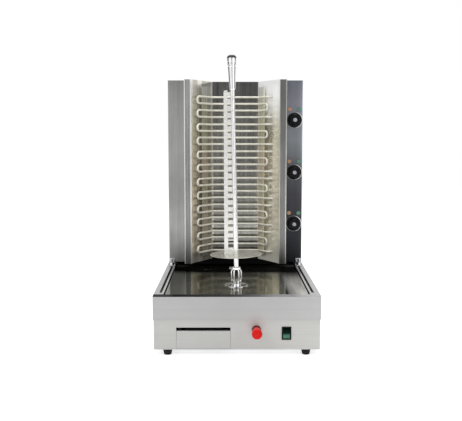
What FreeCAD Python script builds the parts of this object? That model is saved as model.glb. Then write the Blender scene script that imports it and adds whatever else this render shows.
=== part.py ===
import FreeCAD, Part
import math
import os
import re

import Sketcher

# An electric skewer grill: a base with a mirror tray, a grease drawer and a gear motor that turns an upright
# spit, and a tall heater head with six bent tube elements that slides along two grooves towards the spit.
# Millimetres. X to the right, Y from front to back, Z up from the floor. The origin is under the middle.

SIZES = {
    # base: lower housing, apron round its top, feet
    "base_width": 450,
    "base_depth": 570,
    "base_top": 163,
    "apron_height": 64,
    "base_sheet": 1.5,
    "fold_radius": 2,
    "housing_inset": 2,
    "housing_overlap": 3,
    "housing_lip": 12,
    "side_flange": 14,
    "front_flange": 23,
    "rear_flange": 12,
    "foot_height": 17,
    "foot_top_dia": 27,
    "foot_tip_dia": 20,
    "foot_inset_x": 38,
    "foot_inset_y": 19,
    "foot_screw_dia": 6,
    "foot_screw_head": 11,
    "foot_screw_head_height": 3,
    "foot_nut_height": 5,
    "foot_screw_end": 8,
    # grooves for the sliding head, and the tray between them
    "groove_width": 7,
    "groove_depth": 22,
    "groove_start": 45,
    "groove_floor_gap": 2,
    "groove_lip": 6,
    "tray_gap": 4.6,
    "tray_rim": 5.7,
    "tray_sheet": 1.2,
    "tray_sink": 0.8,
    "drain_setback": 400,
    "drain_dia": 26,
    "member_web": 20,
    "member_flange": 24,
    "member_step": 12,
    "member_ahead": 80,
    "member_behind": 60,
    "rear_member_setback": 90,
    # grease drawer and the finger slot above its front
    "drawer_inset": 62.5,
    "drawer_width": 145.4,
    "drawer_front_height": 49,
    "drawer_front_sheet": 1.2,
    "finger_slot": 9.4,
    "finger_lip": 9,
    "drawer_sill": 2,
    "drawer_gap": 0.4,
    "drawer_length": 430,
    "drawer_pan_height": 38,
    "drawer_sheet": 1,
    "runner_sheet": 1.2,
    "runner_height": 15,
    "runner_shelf": 9,
    # switches on the front of the base
    "rocker_inset": 92.1,
    "rocker_z": 61.7,
    "rocker_frame_width": 25.5,
    "rocker_frame_height": 35.9,
    "rocker_frame_proud": 2.2,
    "rocker_width": 18,
    "rocker_height": 29,
    "rocker_gap": 0.5,
    "rocker_pivot_depth": 1,
    "rocker_crown": 3.5,
    "rocker_valley": 1.5,
    "rocker_body_depth": 8,
    "rocker_tilt": 7,
    "switch_wall": 1.8,
    "switch_depth": 26,
    "switch_block": 10,
    "button_spacing": 80.6,
    "button_z": 70.9,
    "button_reach": 46,
    "button_face_dia": 27.5,
    "button_root_dia": 21.5,
    "button_hole_dia": 16,
    "button_stem_dia": 11,
    "button_collar_dia": 25,
    "button_collar_height": 4,
    "button_rim": 8,
    "button_edge": 3,
    "button_travel_gap": 6,
    "gland_inset": 73,
    "gland_z": 60,
    "gland_dia": 22,
    "gland_reach": 18,
    "gland_bore": 10,
    "gland_shoulder": 2,
    "gland_barrel": 6,
    # drive under the tray
    "spit_setback": 145,
    "shaft_dia": 12,
    "gearbox_width": 80,
    "gearbox_depth": 62,
    "gearbox_height": 30,
    "gearbox_offset": 20,
    "gearbox_bore_share": 0.7,
    "motor_dia": 54,
    "motor_height": 30,
    "bracket_sheet": 2,
    "bracket_margin": 10,
    "bearing_flange_height": 4,
    "bearing_dia": 26,
    "bearing_flange_dia": 46,
    "seal_flange_dia": 68,
    "seal_flange_height": 3,
    "seal_flange_slope": 4,
    "seal_boss_dia": 24,
    "seal_boss_height": 3.5,
    "running_gap": 0.05,
    # cage coupling that holds the foot of the spit: a foot ring, bulging bars and a collar
    "coupling_gap": 0.5,
    "coupling_ring_dia": 29.4,
    "coupling_ring_height": 8.7,
    "coupling_waist_dia": 32,
    "coupling_waist_height": 30.7,
    "coupling_collar_dia": 24.3,
    "coupling_collar_height": 7.1,
    "coupling_roof": 2.5,
    "cage_wall": 4,
    "cage_belly_low": 0.15,
    "cage_belly_high": 0.8,
    "cage_bar_count": 6,
    "cage_bar_width": 6,
    "hub_floor": 2,
    "socket_play": 0.4,
    "rod_floor_gap": 0.5,
    "thumb_screw_dia": 4,
    "thumb_head_dia": 8,
    "thumb_head_length": 6,
    "thumb_reach": 19.5,
    # spit: rod, ladder blade, meat disc, handle
    "spit_lean": 1.3,
    "rod_dia": 12.4,
    "disc_level": 252,
    "disc_dia": 148,
    "disc_sheet": 1.5,
    "hub_dia": 17,
    "hub_height": 9,
    "blade_bar_width": 11,
    "blade_bar_thickness": 4,
    "blade_foot_reach": 33.2,
    "blade_head_reach": 24.8,
    "blade_top": 715,
    "blade_foot_height": 18.5,
    "low_rung_level": 293.5,
    "low_rung_height": 3,
    "rung_count": 22,
    "rung_first": 307,
    "rung_pitch": 18.9,
    "rung_height": 11.4,
    "rung_thickness": 3,
    "grip_bottom": 716,
    "grip_top": 781,
    "grip_bottom_dia": 16.5,
    "grip_top_dia": 23.8,
    "cap_neck_dia": 21,
    "cap_neck_height": 4,
    "cap_ring_dia": 25.6,
    "cap_ring_height": 8,
    "cap_dia": 27.2,
    "cap_height": 17.5,
    "cap_round": 9.5,
    # heater head
    "head_setback": 417,
    "head_gap": 12.4,
    "head_height": 592,
    "head_inset": 7,
    "head_depth": 150,
    "head_sheet": 1.2,
    "side_setback": 42,
    "post_width": 23,
    "post_fold": 1.1,
    "side_panel_width": 54,
    "wing_run": 64.5,
    "reflector_depth": 98,
    "reflector_sheet": 0.8,
    "insulation_depth": 20,
    "insulation_margin": 12,
    "rear_cover_width": 360,
    "rear_cover_margin": 50,
    "rear_cover_lap": 12,
    "louvre_margin": 60,
    "louvre_inset": 15,
    "louvre_count": 12,
    "louvre_pitch": 18,
    "louvre_height": 5,
    "louvre_width": 130,
    # tube heating elements, each bent into an M lying on its side
    "tube_dia": 6.5,
    "element_count": 6,
    "element_rise": 287.1,
    "run_pitch": 21.5,
    "element_gap": 23.6,
    "tube_depth": 70,
    "tube_kink_radius": 14,
    "left_bend_inset": 19.4,
    "left_bend_depth": 8,
    "right_bend_inset": 37.9,
    "right_bend_depth": 35,
    "tail_reach": 11,
    "tail_turn_radius": 12,
    "tail_hole_play": 0.6,
    "support_width": 30,
    "support_sheet": 1.2,
    "support_play": 0.1,
    "support_margin": 20,
    "support_tab": 6,
    "left_support_shift": 34,
    "right_support_shift": 10,
    # controls on the right of the head
    "knob_inset": 26.5,
    "knob_rise": 296.1,
    "knob_pitch": 168.7,
    "knob_dia": 48,
    "knob_grip_dia": 36,
    "knob_skirt_height": 7,
    "knob_height": 25,
    "knob_flute_count": 6,
    "knob_flute_dia": 16,
    "knob_flute_depth": 2.5,
    "knob_cap_dia": 12,
    "knob_cap_proud": 0.8,
    "knob_gap": 2.6,
    "spindle_dia": 6,
    "spindle_reach": 14,
    "dial_ring_dia": 51.5,
    "dial_ring_bore": 30,
    "dial_ring_height": 1.6,
    "lamp_rise": 35,
    "lamp_spread": 15.5,
    "lamp_dia": 13,
    "lamp_proud": 4,
    "lamp_hole_dia": 10,
    "lamp_tail": 18,
    "regulator_size": 42,
    "regulator_depth": 34,
    # shoes and clamps that hold the head to the grooves
    "shoe_play": 0.3,
    "shoe_length": 30,
    "front_shoe_setback": 8,
    "rear_shoe_setback": 68,
    "shoe_pad_width": 18,
    "clamp_width": 17,
    "clamp_height": 24,
    "clamp_slot_width": 5,
    "clamp_slot_height": 10,
    "clamp_sheet": 2.5,
    "clamp_foot": 24,
    "clamp_screw_dia": 5,
    "clamp_screw_inset": 1,
    "clamp_head_dia": 12,
    "clamp_head_height": 9,
    "clamp_nut_depth": 14,
    "clamp_nut_height": 6,
}

# Places worked out from the sizes: levels, edges and centres that several pieces share.
PLACES = {
    "front_y": "-(base_depth + gland_reach - button_reach) / 2",
    "back_y": "front_y + base_depth",
    "apron_half": "base_width / 2",
    "apron_bottom": "base_top - apron_height",
    "housing_half": "apron_half - housing_inset",
    "housing_front": "front_y + housing_inset",
    "housing_back": "back_y - housing_inset",
    "housing_top": "apron_bottom + housing_overlap",
    "floor_plate_z": "foot_height + base_sheet",
    "floor_plate_top": "floor_plate_z + base_sheet",
    "foot_x": "apron_half - foot_inset_x",
    "front_foot_y": "front_y + foot_inset_y",
    "rear_foot_y": "back_y - foot_inset_y",
    "flange_edge": "apron_half - side_flange",
    "groove_edge": "flange_edge - groove_width",
    "lip_edge": "groove_edge - groove_lip",
    "groove_bottom": "base_top - groove_depth",
    "tray_half": "lip_edge - tray_gap",
    "tray_floor_half": "tray_half - tray_rim",
    "groove_front": "front_y + groove_start",
    "tray_front": "front_y + front_flange + drawer_gap",
    "tray_back": "back_y - rear_flange - drawer_gap",
    "tray_floor": "base_top - tray_sink",
    "tray_under": "tray_floor - tray_sheet",
    "member_bottom": "groove_bottom - member_web",
    "drain_y": "front_y + drain_setback",
    "drawer_left": "drawer_inset - apron_half",
    "drawer_right": "drawer_left + drawer_width",
    "drain_x": "(drawer_left + drawer_right) / 2",
    "rocker_x": "apron_half - rocker_inset",
    "button_x": "rocker_x - button_spacing",
    "gland_x": "housing_half - gland_inset",
    "sill_z": "foot_height + drawer_sill",
    "drawer_front_top": "sill_z + drawer_front_height",
    "slot_top": "drawer_front_top + finger_slot",
    "shelf_top": "floor_plate_top + runner_sheet",
    "pan_bottom": "shelf_top + drawer_gap / 2",
    "pan_left": "drawer_left + drawer_gap + runner_sheet",
    "pan_right": "drawer_right - drawer_gap - runner_sheet",
    "spit_y": "front_y + spit_setback",
    "bracket_bottom": "member_bottom - bracket_sheet",
    "seal_top": "tray_floor + seal_flange_height + seal_boss_height",
    "coupling_bottom": "seal_top + coupling_gap",
    "waist_bottom": "coupling_bottom + coupling_ring_height",
    "collar_bottom": "waist_bottom + coupling_waist_height",
    "coupling_top": "collar_bottom + coupling_collar_height",
    "socket_bottom": "collar_bottom - coupling_roof + hub_floor",
    "pivot_z": "(socket_bottom + coupling_top) / 2",
    "head_front": "front_y + head_setback",
    "head_back": "head_front + head_depth",
    "panel_y": "head_front + side_setback",
    "head_bottom": "base_top + head_gap",
    "head_top": "head_bottom + head_height",
    "head_floor_top": "head_bottom + head_sheet",
    "head_half": "apron_half - head_inset",
    "post_outer": "head_half - side_panel_width",
    "mouth_half": "post_outer - post_width",
    "back_half": "mouth_half - wing_run",
    "wing_front": "head_front + head_sheet",
    "wing_back": "head_front + reflector_depth",
    "knob_x": "head_half - knob_inset",
    "knob_mid_z": "head_bottom + knob_rise",
    "element_mid_z": "head_bottom + element_rise",
    "tube_y": "head_front + tube_depth",
    "tube_flat_half": "back_half",
    "left_bend_x": "mouth_half - left_bend_inset",
    "right_bend_x": "mouth_half - right_bend_inset",
    "tail_end_x": "mouth_half + tail_reach",
    "clamp_x": "(flange_edge + groove_edge) / 2",
}

NAMES = {**{name: "Sizes" for name in SIZES}, **{name: "Places" for name in PLACES}}


def ref(text):
    """Points each plain name in an expression at the object that holds it."""
    return re.sub(r"[a-z][a-z_0-9]*", lambda m: f"{NAMES[m.group()]}.{m.group()}" if m.group() in NAMES
                  else m.group(), text)


doc = FreeCAD.newDocument("SkewerGrill")
sheet = doc.addObject("Spreadsheet::Sheet", "Sizes")
for row, (name, number) in enumerate(SIZES.items(), start=1):
    sheet.set(f"A{row}", name)
    sheet.set(f"B{row}", str(number))
    sheet.setAlias(f"B{row}", name)
doc.recompute()

places = doc.addObject("App::VarSet", "Places")
gauge = doc.addObject("App::VarSet", "Gauge")
gauge.addProperty("App::PropertyFloat", "reading")
for name, text in PLACES.items():
    places.addProperty("App::PropertyFloat", name)
    places.setExpression(name, ref(text))
doc.recompute()


def value(text):
    """The present number of an expression."""
    gauge.setExpression("reading", ref(str(text)))
    gauge.recompute()
    return gauge.reading


# ---------------------------------------------------------------- building blocks

OUTWARD = {"XY_Plane": 1, "XZ_Plane": -1, "YZ_Plane": 1}


def new_body(label):
    body = doc.addObject("PartDesign::Body", label)
    body.Label = label
    return body


def rectangle(left, right, low, high):
    return [(left, low), (right, low), (right, high), (left, high)]


def circle(x, y, diameter):
    return {"x": x, "y": y, "diameter": diameter}


def add_polygon(sketch, points):
    """Closed straight-sided loop whose every corner is tied to two expressions."""
    corners = [(value(x), value(y)) for x, y in points]
    first = sketch.GeometryCount
    count = len(corners)
    for index, start in enumerate(corners):
        end = corners[(index + 1) % count]
        line = Part.LineSegment(FreeCAD.Vector(*start, 0), FreeCAD.Vector(*end, 0))
        sketch.addGeometry(line, False)
    for index in range(count):
        following = first + (index + 1) % count
        sketch.addConstraint(Sketcher.Constraint("Coincident", first + index, 2, following, 1))
    for index, (x, y) in enumerate(points):
        for kind, text, number in (("DistanceX", x, corners[index][0]), ("DistanceY", y, corners[index][1])):
            place = sketch.addConstraint(Sketcher.Constraint(kind, -1, 1, first + index, 1, number))
            sketch.setExpression(f"Constraints[{place}]", ref(str(text)))


def add_circle(sketch, ring):
    centre = FreeCAD.Vector(value(ring["x"]), value(ring["y"]), 0)
    radius = value(ring["diameter"]) / 2
    index = sketch.addGeometry(Part.Circle(centre, FreeCAD.Vector(0, 0, 1), radius), False)
    for kind, text, number in (("DistanceX", ring["x"], centre.x), ("DistanceY", ring["y"], centre.y)):
        place = sketch.addConstraint(Sketcher.Constraint(kind, -1, 1, index, 3, number))
        sketch.setExpression(f"Constraints[{place}]", ref(str(text)))
    place = sketch.addConstraint(Sketcher.Constraint("Diameter", index, 2 * radius))
    sketch.setExpression(f"Constraints[{place}]", ref(str(ring["diameter"])))


def new_sketch(body, role, offset, loops):
    sketch = body.newObject("Sketcher::SketchObject", f"{body.Label}_sketch")
    plane = [feature for feature in body.Origin.OriginFeatures if feature.Role == role][0]
    sketch.AttachmentSupport = (plane, [""])
    sketch.MapMode = "FlatFace"
    sketch.setExpression("AttachmentOffset.Base.z", ref(f"({offset}) * {OUTWARD[role]}"))
    for loop in loops:
        if isinstance(loop, dict):
            add_circle(sketch, loop)
        else:
            add_polygon(sketch, loop)
    return sketch


def slab(body, role, loops, start, stop, taper=None):
    """Pad of the loops that fills the stretch from start to stop along the axis square to the plane."""
    sketch = new_sketch(body, role, start, loops)
    pad = body.newObject("PartDesign::Pad", f"{body.Label}_pad")
    pad.Profile = sketch
    pad.Reversed = OUTWARD[role] < 0
    pad.setExpression("Length", ref(f"({stop}) - ({start})"))
    if taper:
        pad.setExpression("TaperAngle", ref(taper))
    doc.recompute()
    return pad


def cut(body, role, loops, start, stop):
    """Pocket of the loops through the stretch from start to stop along the axis square to the plane."""
    before = body.Shape.Volume
    sketch = new_sketch(body, role, stop if OUTWARD[role] > 0 else start, loops)
    pocket = body.newObject("PartDesign::Pocket", f"{body.Label}_pocket")
    pocket.Profile = sketch
    pocket.setExpression("Length", ref(f"({stop}) - ({start})"))
    doc.recompute()
    if body.Shape.Volume >= before:
        raise RuntimeError(f"a pocket in {body.Label} cuts nothing")
    return pocket


def turned(body, role, points):
    """Revolution about the sketch's own upright axis: the axis is Z on the XZ plane and Y on the XY plane."""
    sketch = new_sketch(body, role, "0", [points])
    turn = body.newObject("PartDesign::Revolution", f"{body.Label}_turn")
    turn.Profile = sketch
    turn.ReferenceAxis = (sketch, ["V_Axis"])
    turn.Angle = 360
    doc.recompute()
    return turn


def round_rim(body, radius, level, diameter, axis="z"):
    """Fillet on the circular edge of this diameter that lies at this level along the axis."""
    height = value(level)
    size = value(diameter)
    turned_shape = body.Tip
    chosen = []
    for number, edge in enumerate(turned_shape.Shape.Edges, start=1):
        ring = edge.Curve
        if isinstance(ring, Part.Circle) and abs(2 * ring.Radius - size) < 0.01:
            if abs(getattr(ring.Center, axis) - height) < 0.01:
                chosen.append(f"Edge{number}")
    fillet = body.newObject("PartDesign::Fillet", f"{body.Label}_round")
    fillet.Base = (turned_shape, chosen)
    fillet.setExpression("Radius", ref(radius))
    body.Tip = fillet
    doc.recompute()
    return fillet


def round_folds(body, radius, corners):
    """Fillet on the upright edges that stand at these places in plan, as on folded sheet."""
    spots = [(value(x), value(y)) for x, y in corners]
    folded = body.Tip
    chosen = []
    for number, edge in enumerate(folded.Shape.Edges, start=1):
        box = edge.BoundBox
        upright = box.ZLength > 5 and box.XLength < 0.01 and box.YLength < 0.01
        if upright and any(math.dist((box.Center.x, box.Center.y), spot) < 0.01 for spot in spots):
            chosen.append(f"Edge{number}")
    fillet = body.newObject("PartDesign::Fillet", f"{body.Label}_folds")
    fillet.Base = (folded, chosen)
    fillet.setExpression("Radius", ref(radius))
    body.Tip = fillet
    doc.recompute()
    return fillet


def place(item, x="0", y="0", z="0"):
    for axis, text in (("x", x), ("y", y), ("z", z)):
        item.setExpression(f"Placement.Base.{axis}", ref(text))


def repeat_along(body, feature, axis, length, count):
    pattern = body.newObject("PartDesign::LinearPattern", f"{body.Label}_row")
    pattern.Originals = [feature]
    line = [item for item in body.Origin.OriginFeatures if item.Role == axis][0]
    pattern.Direction = (line, [""])
    pattern.setExpression("Length", ref(length))
    pattern.setExpression("Occurrences", ref(count))
    body.Tip = pattern
    doc.recompute()
    return pattern


def repeat_round(body, feature, axis, count):
    pattern = body.newObject("PartDesign::PolarPattern", f"{body.Label}_ring")
    pattern.Originals = [feature]
    line = [item for item in body.Origin.OriginFeatures if item.Role == axis][0]
    pattern.Axis = (line, [""])
    pattern.Angle = 360
    pattern.setExpression("Occurrences", ref(count))
    body.Tip = pattern
    doc.recompute()
    return pattern


# ---------------------------------------------------------------- base

def build_base_housing():
    """Lower box of folded sheet: four walls, an inward lip at the foot, openings for drawer and switches."""
    body = new_body("base_housing")
    outer = rectangle("-housing_half", "housing_half", "housing_front", "housing_back")
    inner = rectangle("-housing_half + base_sheet", "housing_half - base_sheet",
                      "housing_front + base_sheet", "housing_back - base_sheet")
    slab(body, "XY_Plane", [outer, inner], "foot_height", "housing_top")
    lip = rectangle("-housing_half + housing_lip", "housing_half - housing_lip",
                    "housing_front + housing_lip", "housing_back - housing_lip")
    slab(body, "XY_Plane", [outer, lip], "foot_height", "foot_height + base_sheet")
    wall = ("housing_front - 1", "housing_front + base_sheet + 0.2")
    drawer_mouth = rectangle("drawer_left", "drawer_right", "sill_z", "slot_top")
    cut(body, "XZ_Plane", [drawer_mouth], *wall)
    wide = "(rocker_width / 2 + rocker_gap + switch_wall + drawer_gap)"
    tall = "(rocker_height / 2 + rocker_gap + switch_wall + drawer_gap)"
    switch_hole = rectangle(f"rocker_x - {wide}", f"rocker_x + {wide}",
                            f"rocker_z - {tall}", f"rocker_z + {tall}")
    cut(body, "XZ_Plane", [switch_hole], *wall)
    cut(body, "XZ_Plane", [circle("button_x", "button_z", "button_hole_dia + 0.6")], *wall)
    cut(body, "XZ_Plane", [circle("gland_x", "gland_z", "gland_dia - 2 * gland_shoulder")],
        "housing_back - base_sheet - 1", "housing_back + 1")


def foot_circles(diameter):
    return [circle(x, y, diameter) for x in ("-foot_x", "foot_x") for y in ("front_foot_y", "rear_foot_y")]


def build_floor_plate():
    """Bottom plate that lies on the housing's lip and carries feet, runners and switchgear."""
    body = new_body("floor_plate")
    edge = "base_sheet + drawer_gap / 2"
    plate = rectangle(f"-housing_half + {edge}", f"housing_half - ({edge})",
                      f"housing_front + {edge}", f"housing_back - ({edge})")
    slab(body, "XY_Plane", [plate], "floor_plate_z", "floor_plate_top")
    cut(body, "XY_Plane", foot_circles("foot_screw_dia + 0.6"), "floor_plate_z - 1", "floor_plate_top + 1")


def build_rubber_feet():
    """Four tapered rubber feet with a recess for the screw head."""
    body = new_body("rubber_feet")
    slab(body, "XY_Plane", foot_circles("foot_tip_dia"), "0", "foot_height",
         "atan((foot_top_dia - foot_tip_dia) / 2 / foot_height)")
    cut(body, "XY_Plane", foot_circles("foot_screw_dia + 0.6"), "0", "foot_height")
    cut(body, "XY_Plane", foot_circles("foot_screw_head + 1"), "0", "foot_height / 3")


def build_foot_screws():
    """Screws up through the feet, with their nuts on the floor plate."""
    body = new_body("foot_screws")
    slab(body, "XY_Plane", foot_circles("foot_screw_dia"), "foot_height / 3 - 1",
         "floor_plate_top + foot_screw_end")
    slab(body, "XY_Plane", foot_circles("foot_screw_head"), "foot_height / 3 - foot_screw_head_height",
         "foot_height / 3")
    slab(body, "XY_Plane", foot_circles("foot_screw_head"), "floor_plate_top",
         "floor_plate_top + foot_nut_height")


def build_apron():
    """Upper skirt of the base: four walls and an inward flange round the tray and the grooves."""
    body = new_body("apron")
    outer = rectangle("-apron_half", "apron_half", "front_y", "back_y")
    inner = rectangle("-apron_half + base_sheet", "apron_half - base_sheet",
                      "front_y + base_sheet", "back_y - base_sheet")
    slab(body, "XY_Plane", [outer, inner], "apron_bottom", "base_top")
    opening = [("-lip_edge", "front_y + front_flange"), ("lip_edge", "front_y + front_flange"),
               ("lip_edge", "groove_front"), ("flange_edge", "groove_front"),
               ("flange_edge", "back_y - rear_flange"), ("-flange_edge", "back_y - rear_flange"),
               ("-flange_edge", "groove_front"), ("-lip_edge", "groove_front")]
    slab(body, "XY_Plane", [outer, opening], "base_top - base_sheet", "base_top")
    round_folds(body, "fold_radius", outer)


def build_groove_rail(label, side):
    """Folded channel under each side flange: a deep groove and an inner lip, open upwards."""
    body = new_body(label)
    flange_under = "base_top - base_sheet"
    profile = [
        ("flange_edge + base_sheet", flange_under),
        ("flange_edge + base_sheet", "groove_bottom"),
        ("groove_edge - base_sheet", "groove_bottom"),
        ("groove_edge - base_sheet", flange_under),
        ("lip_edge", flange_under),
        ("lip_edge", "base_top"),
        ("groove_edge", "base_top"),
        ("groove_edge", "groove_bottom + base_sheet"),
        ("flange_edge", "groove_bottom + base_sheet"),
        ("flange_edge", flange_under),
    ]
    points = [(f"{side} * ({x})", z) for x, z in profile]
    slab(body, "XZ_Plane", [points], "groove_front + drawer_gap", "tray_back")


def build_drip_tray():
    """Shallow mirror tray with a thick rolled rim, a hole for the drive and a drain over the drawer."""
    body = new_body("drip_tray")
    outer = rectangle("-tray_half", "tray_half", "tray_front", "tray_back")
    floor = rectangle("-tray_floor_half", "tray_floor_half", "tray_front + tray_rim", "tray_back - tray_rim")
    slab(body, "XY_Plane", [outer], "tray_under", "tray_floor")
    slab(body, "XY_Plane", [outer, floor], "tray_under", "base_top")
    holes = [circle("0", "spit_y", "bearing_dia + 2"), circle("drain_x", "drain_y", "drain_dia")]
    cut(body, "XY_Plane", holes, "tray_under - 1", "tray_floor + 1")


def build_cross_members():
    """Three folded bearers across the base: low ends for the grooves, a raised middle for the tray."""
    body = new_body("cross_members")
    half = "(housing_half - base_sheet - drawer_gap / 2)"
    step = "(tray_half - member_step)"
    web = [(f"-{half}", "member_bottom"), (half, "member_bottom"), (half, "groove_bottom"),
           (step, "groove_bottom"), (step, "tray_under"), (f"-{step}", "tray_under"),
           (f"-{step}", "groove_bottom"), (f"-{half}", "groove_bottom")]
    for start in ("spit_y - member_ahead", "spit_y + member_behind", "head_front + rear_member_setback"):
        slab(body, "XZ_Plane", [web], start, f"{start} + base_sheet")
        middle = rectangle(f"-{step}", step, start, f"{start} + member_flange")
        slab(body, "XY_Plane", [middle], "tray_under - base_sheet", "tray_under")
        foot = rectangle(f"-{half}", half, start, f"{start} + member_flange")
        slab(body, "XY_Plane", [foot], "member_bottom", "member_bottom + base_sheet")


def build_drawer():
    """Grease drawer: a folded pan and a flush front whose top edge is folded back as a finger lip."""
    body = new_body("grease_drawer")
    pan_front = "(housing_front + drawer_front_sheet)"
    pan_back = f"({pan_front} + drawer_length)"
    pan = rectangle("pan_left", "pan_right", pan_front, pan_back)
    hollow = rectangle("pan_left + drawer_sheet", "pan_right - drawer_sheet",
                       f"{pan_front} + drawer_sheet", f"{pan_back} - drawer_sheet")
    slab(body, "XY_Plane", [pan, hollow], "pan_bottom", "pan_bottom + drawer_pan_height")
    slab(body, "XY_Plane", [pan], "pan_bottom", "pan_bottom + drawer_sheet")
    front = rectangle("drawer_left + drawer_gap", "drawer_right - drawer_gap",
                      "sill_z + drawer_gap", "drawer_front_top")
    slab(body, "XZ_Plane", [front], "housing_front", pan_front)
    lip = rectangle("drawer_left + drawer_gap", "drawer_right - drawer_gap",
                    "housing_front", "housing_front + finger_lip")
    slab(body, "XY_Plane", [lip], "drawer_front_top - drawer_front_sheet", "drawer_front_top")


def build_drawer_runners():
    """Two angles on the floor plate that guide and carry the drawer."""
    body = new_body("drawer_runners")
    start = "housing_front + base_sheet + 1"
    stop = f"{start} + drawer_length - 4"
    for outside, inside in (("pan_left - drawer_gap", "pan_left + runner_shelf"),
                            ("pan_right + drawer_gap", "pan_right - runner_shelf")):
        sign = "-" if outside.startswith("pan_left") else "+"
        web = f"{outside} {sign} runner_sheet"
        angle = [(web, "floor_plate_top"), (inside, "floor_plate_top"), (inside, "shelf_top"),
                 (outside, "shelf_top"), (outside, "floor_plate_top + runner_height"),
                 (web, "floor_plate_top + runner_height")]
        slab(body, "XZ_Plane", [angle], start, stop)


# ---------------------------------------------------------------- drive

def build_motor_bracket():
    """Plate under two cross members that the gear motor hangs from."""
    body = new_body("motor_bracket")
    plate = rectangle("gearbox_offset - gearbox_width / 2 - bracket_margin",
                      "gearbox_offset + gearbox_width / 2 + bracket_margin",
                      "spit_y - member_ahead", "spit_y + member_behind + member_flange")
    slab(body, "XY_Plane", [plate, circle("0", "spit_y", "bearing_dia")], "bracket_bottom", "member_bottom")


def build_gear_motor():
    """Flat gearbox with its output off centre, and a round motor can under it."""
    body = new_body("gear_motor")
    box = rectangle("gearbox_offset - gearbox_width / 2", "gearbox_offset + gearbox_width / 2",
                    "spit_y - gearbox_depth / 2", "spit_y + gearbox_depth / 2")
    slab(body, "XY_Plane", [box], "bracket_bottom - gearbox_height", "bracket_bottom")
    slab(body, "XY_Plane", [circle("gearbox_offset", "spit_y", "motor_dia")],
         "bracket_bottom - gearbox_height - motor_height", "bracket_bottom - gearbox_height")
    cut(body, "XY_Plane", [circle("0", "spit_y", "shaft_dia + 2 * running_gap")],
        "bracket_bottom - gearbox_height * gearbox_bore_share", "bracket_bottom")


def build_shaft_bearing():
    """Flanged plain bearing that stands on the bracket and reaches up to the tray."""
    body = new_body("shaft_bearing")
    bore = "shaft_dia / 2 + running_gap"
    turned(body, "XZ_Plane", [(bore, "member_bottom"), ("bearing_flange_dia / 2", "member_bottom"),
                              ("bearing_flange_dia / 2", "member_bottom + bearing_flange_height"),
                              ("bearing_dia / 2", "member_bottom + bearing_flange_height"),
                              ("bearing_dia / 2", "tray_floor"), (bore, "tray_floor")])
    place(body, y="spit_y")


def build_shaft_seal():
    """Round flange on the tray with a short boss that keeps fat away from the shaft."""
    body = new_body("shaft_seal")
    bore = "shaft_dia / 2 + running_gap"
    rim = "tray_floor + seal_flange_height"
    turned(body, "XZ_Plane", [(bore, "tray_floor"), ("seal_flange_dia / 2", "tray_floor"),
                              ("seal_flange_dia / 2", f"{rim} - seal_flange_height / 2"),
                              ("seal_flange_dia / 2 - seal_flange_slope", rim), ("seal_boss_dia / 2", rim),
                              ("seal_boss_dia / 2", "seal_top"), (bore, "seal_top")])
    place(body, y="spit_y")


def build_drive_shaft():
    body = new_body("drive_shaft")
    slab(body, "XY_Plane", [circle("0", "0", "shaft_dia")], "bracket_bottom - gearbox_height / 2",
         "waist_bottom")
    place(body, y="spit_y")


def build_drive_coupling():
    """Cage coupling: a foot ring on the shaft, six bars that bulge outwards, and a collar for the rod."""
    body = new_body("drive_coupling")
    ring = "coupling_ring_dia / 2"
    waist = "coupling_waist_dia / 2"
    collar = "coupling_collar_dia / 2"
    low_waist = "waist_bottom + coupling_waist_height * cage_belly_low"
    shoulder = "waist_bottom + coupling_waist_height * cage_belly_high"
    roof = "collar_bottom - coupling_roof"
    turned(body, "XZ_Plane", [("0", "coupling_bottom"), (f"{ring} - 1", "coupling_bottom"),
                              (ring, "coupling_bottom + 1"), (ring, "waist_bottom"), (waist, low_waist),
                              (waist, shoulder), (f"{collar} - 1.5", "collar_bottom - 0.5"),
                              (collar, "collar_bottom"), (collar, "coupling_top - 1"),
                              (f"{collar} - 1", "coupling_top"), ("0", "coupling_top")])
    hollow = [("0", "waist_bottom"), (f"{ring} - cage_wall", "waist_bottom"),
              (f"{waist} - cage_wall", low_waist), (f"{waist} - cage_wall", shoulder),
              (f"{collar} - cage_wall", roof), ("0", roof)]
    groove = body.newObject("PartDesign::Groove", "drive_coupling_hollow")
    groove.Profile = new_sketch(body, "XZ_Plane", "0", [hollow])
    groove.ReferenceAxis = (groove.Profile[0], ["V_Axis"])
    groove.Angle = 360
    doc.recompute()
    apex = "(cage_bar_width / 2 / sin(180 / cage_bar_count))"
    reach = "coupling_waist_dia"
    half = f"({reach} - {apex}) * tan(180 / cage_bar_count)"
    window = [(f"{apex} + 0.1", "0"), (reach, half), (reach, f"-{half}")]
    gap = cut(body, "XY_Plane", [window], "waist_bottom", "collar_bottom - 0.5")
    repeat_round(body, gap, "Z_Axis", "cage_bar_count")
    cut(body, "XY_Plane", [circle("0", "0", "rod_dia + 2 * socket_play")], "socket_bottom", "coupling_top + 1")
    cut(body, "XY_Plane", [circle("0", "0", "shaft_dia + 2 * running_gap")],
        "coupling_bottom - 1", "waist_bottom + 1")
    cut(body, "YZ_Plane", [circle("0", "coupling_top - coupling_collar_height / 2", "thumb_screw_dia + 0.2")],
        "-coupling_collar_dia", "0")
    place(body, y="spit_y")


def build_thumb_screw():
    """Thumb screw through the collar; its tip stops just short of the rod."""
    body = new_body("thumb_screw")
    level = "coupling_top - coupling_collar_height / 2"
    slab(body, "YZ_Plane", [circle("0", level, "thumb_screw_dia")], "-thumb_reach + 1",
         "-rod_dia / 2 - socket_play - 0.4")
    slab(body, "YZ_Plane", [circle("0", level, "thumb_head_dia")], "-thumb_reach",
         "-thumb_reach + thumb_head_length")
    place(body, y="spit_y")


# ---------------------------------------------------------------- spit

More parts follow.
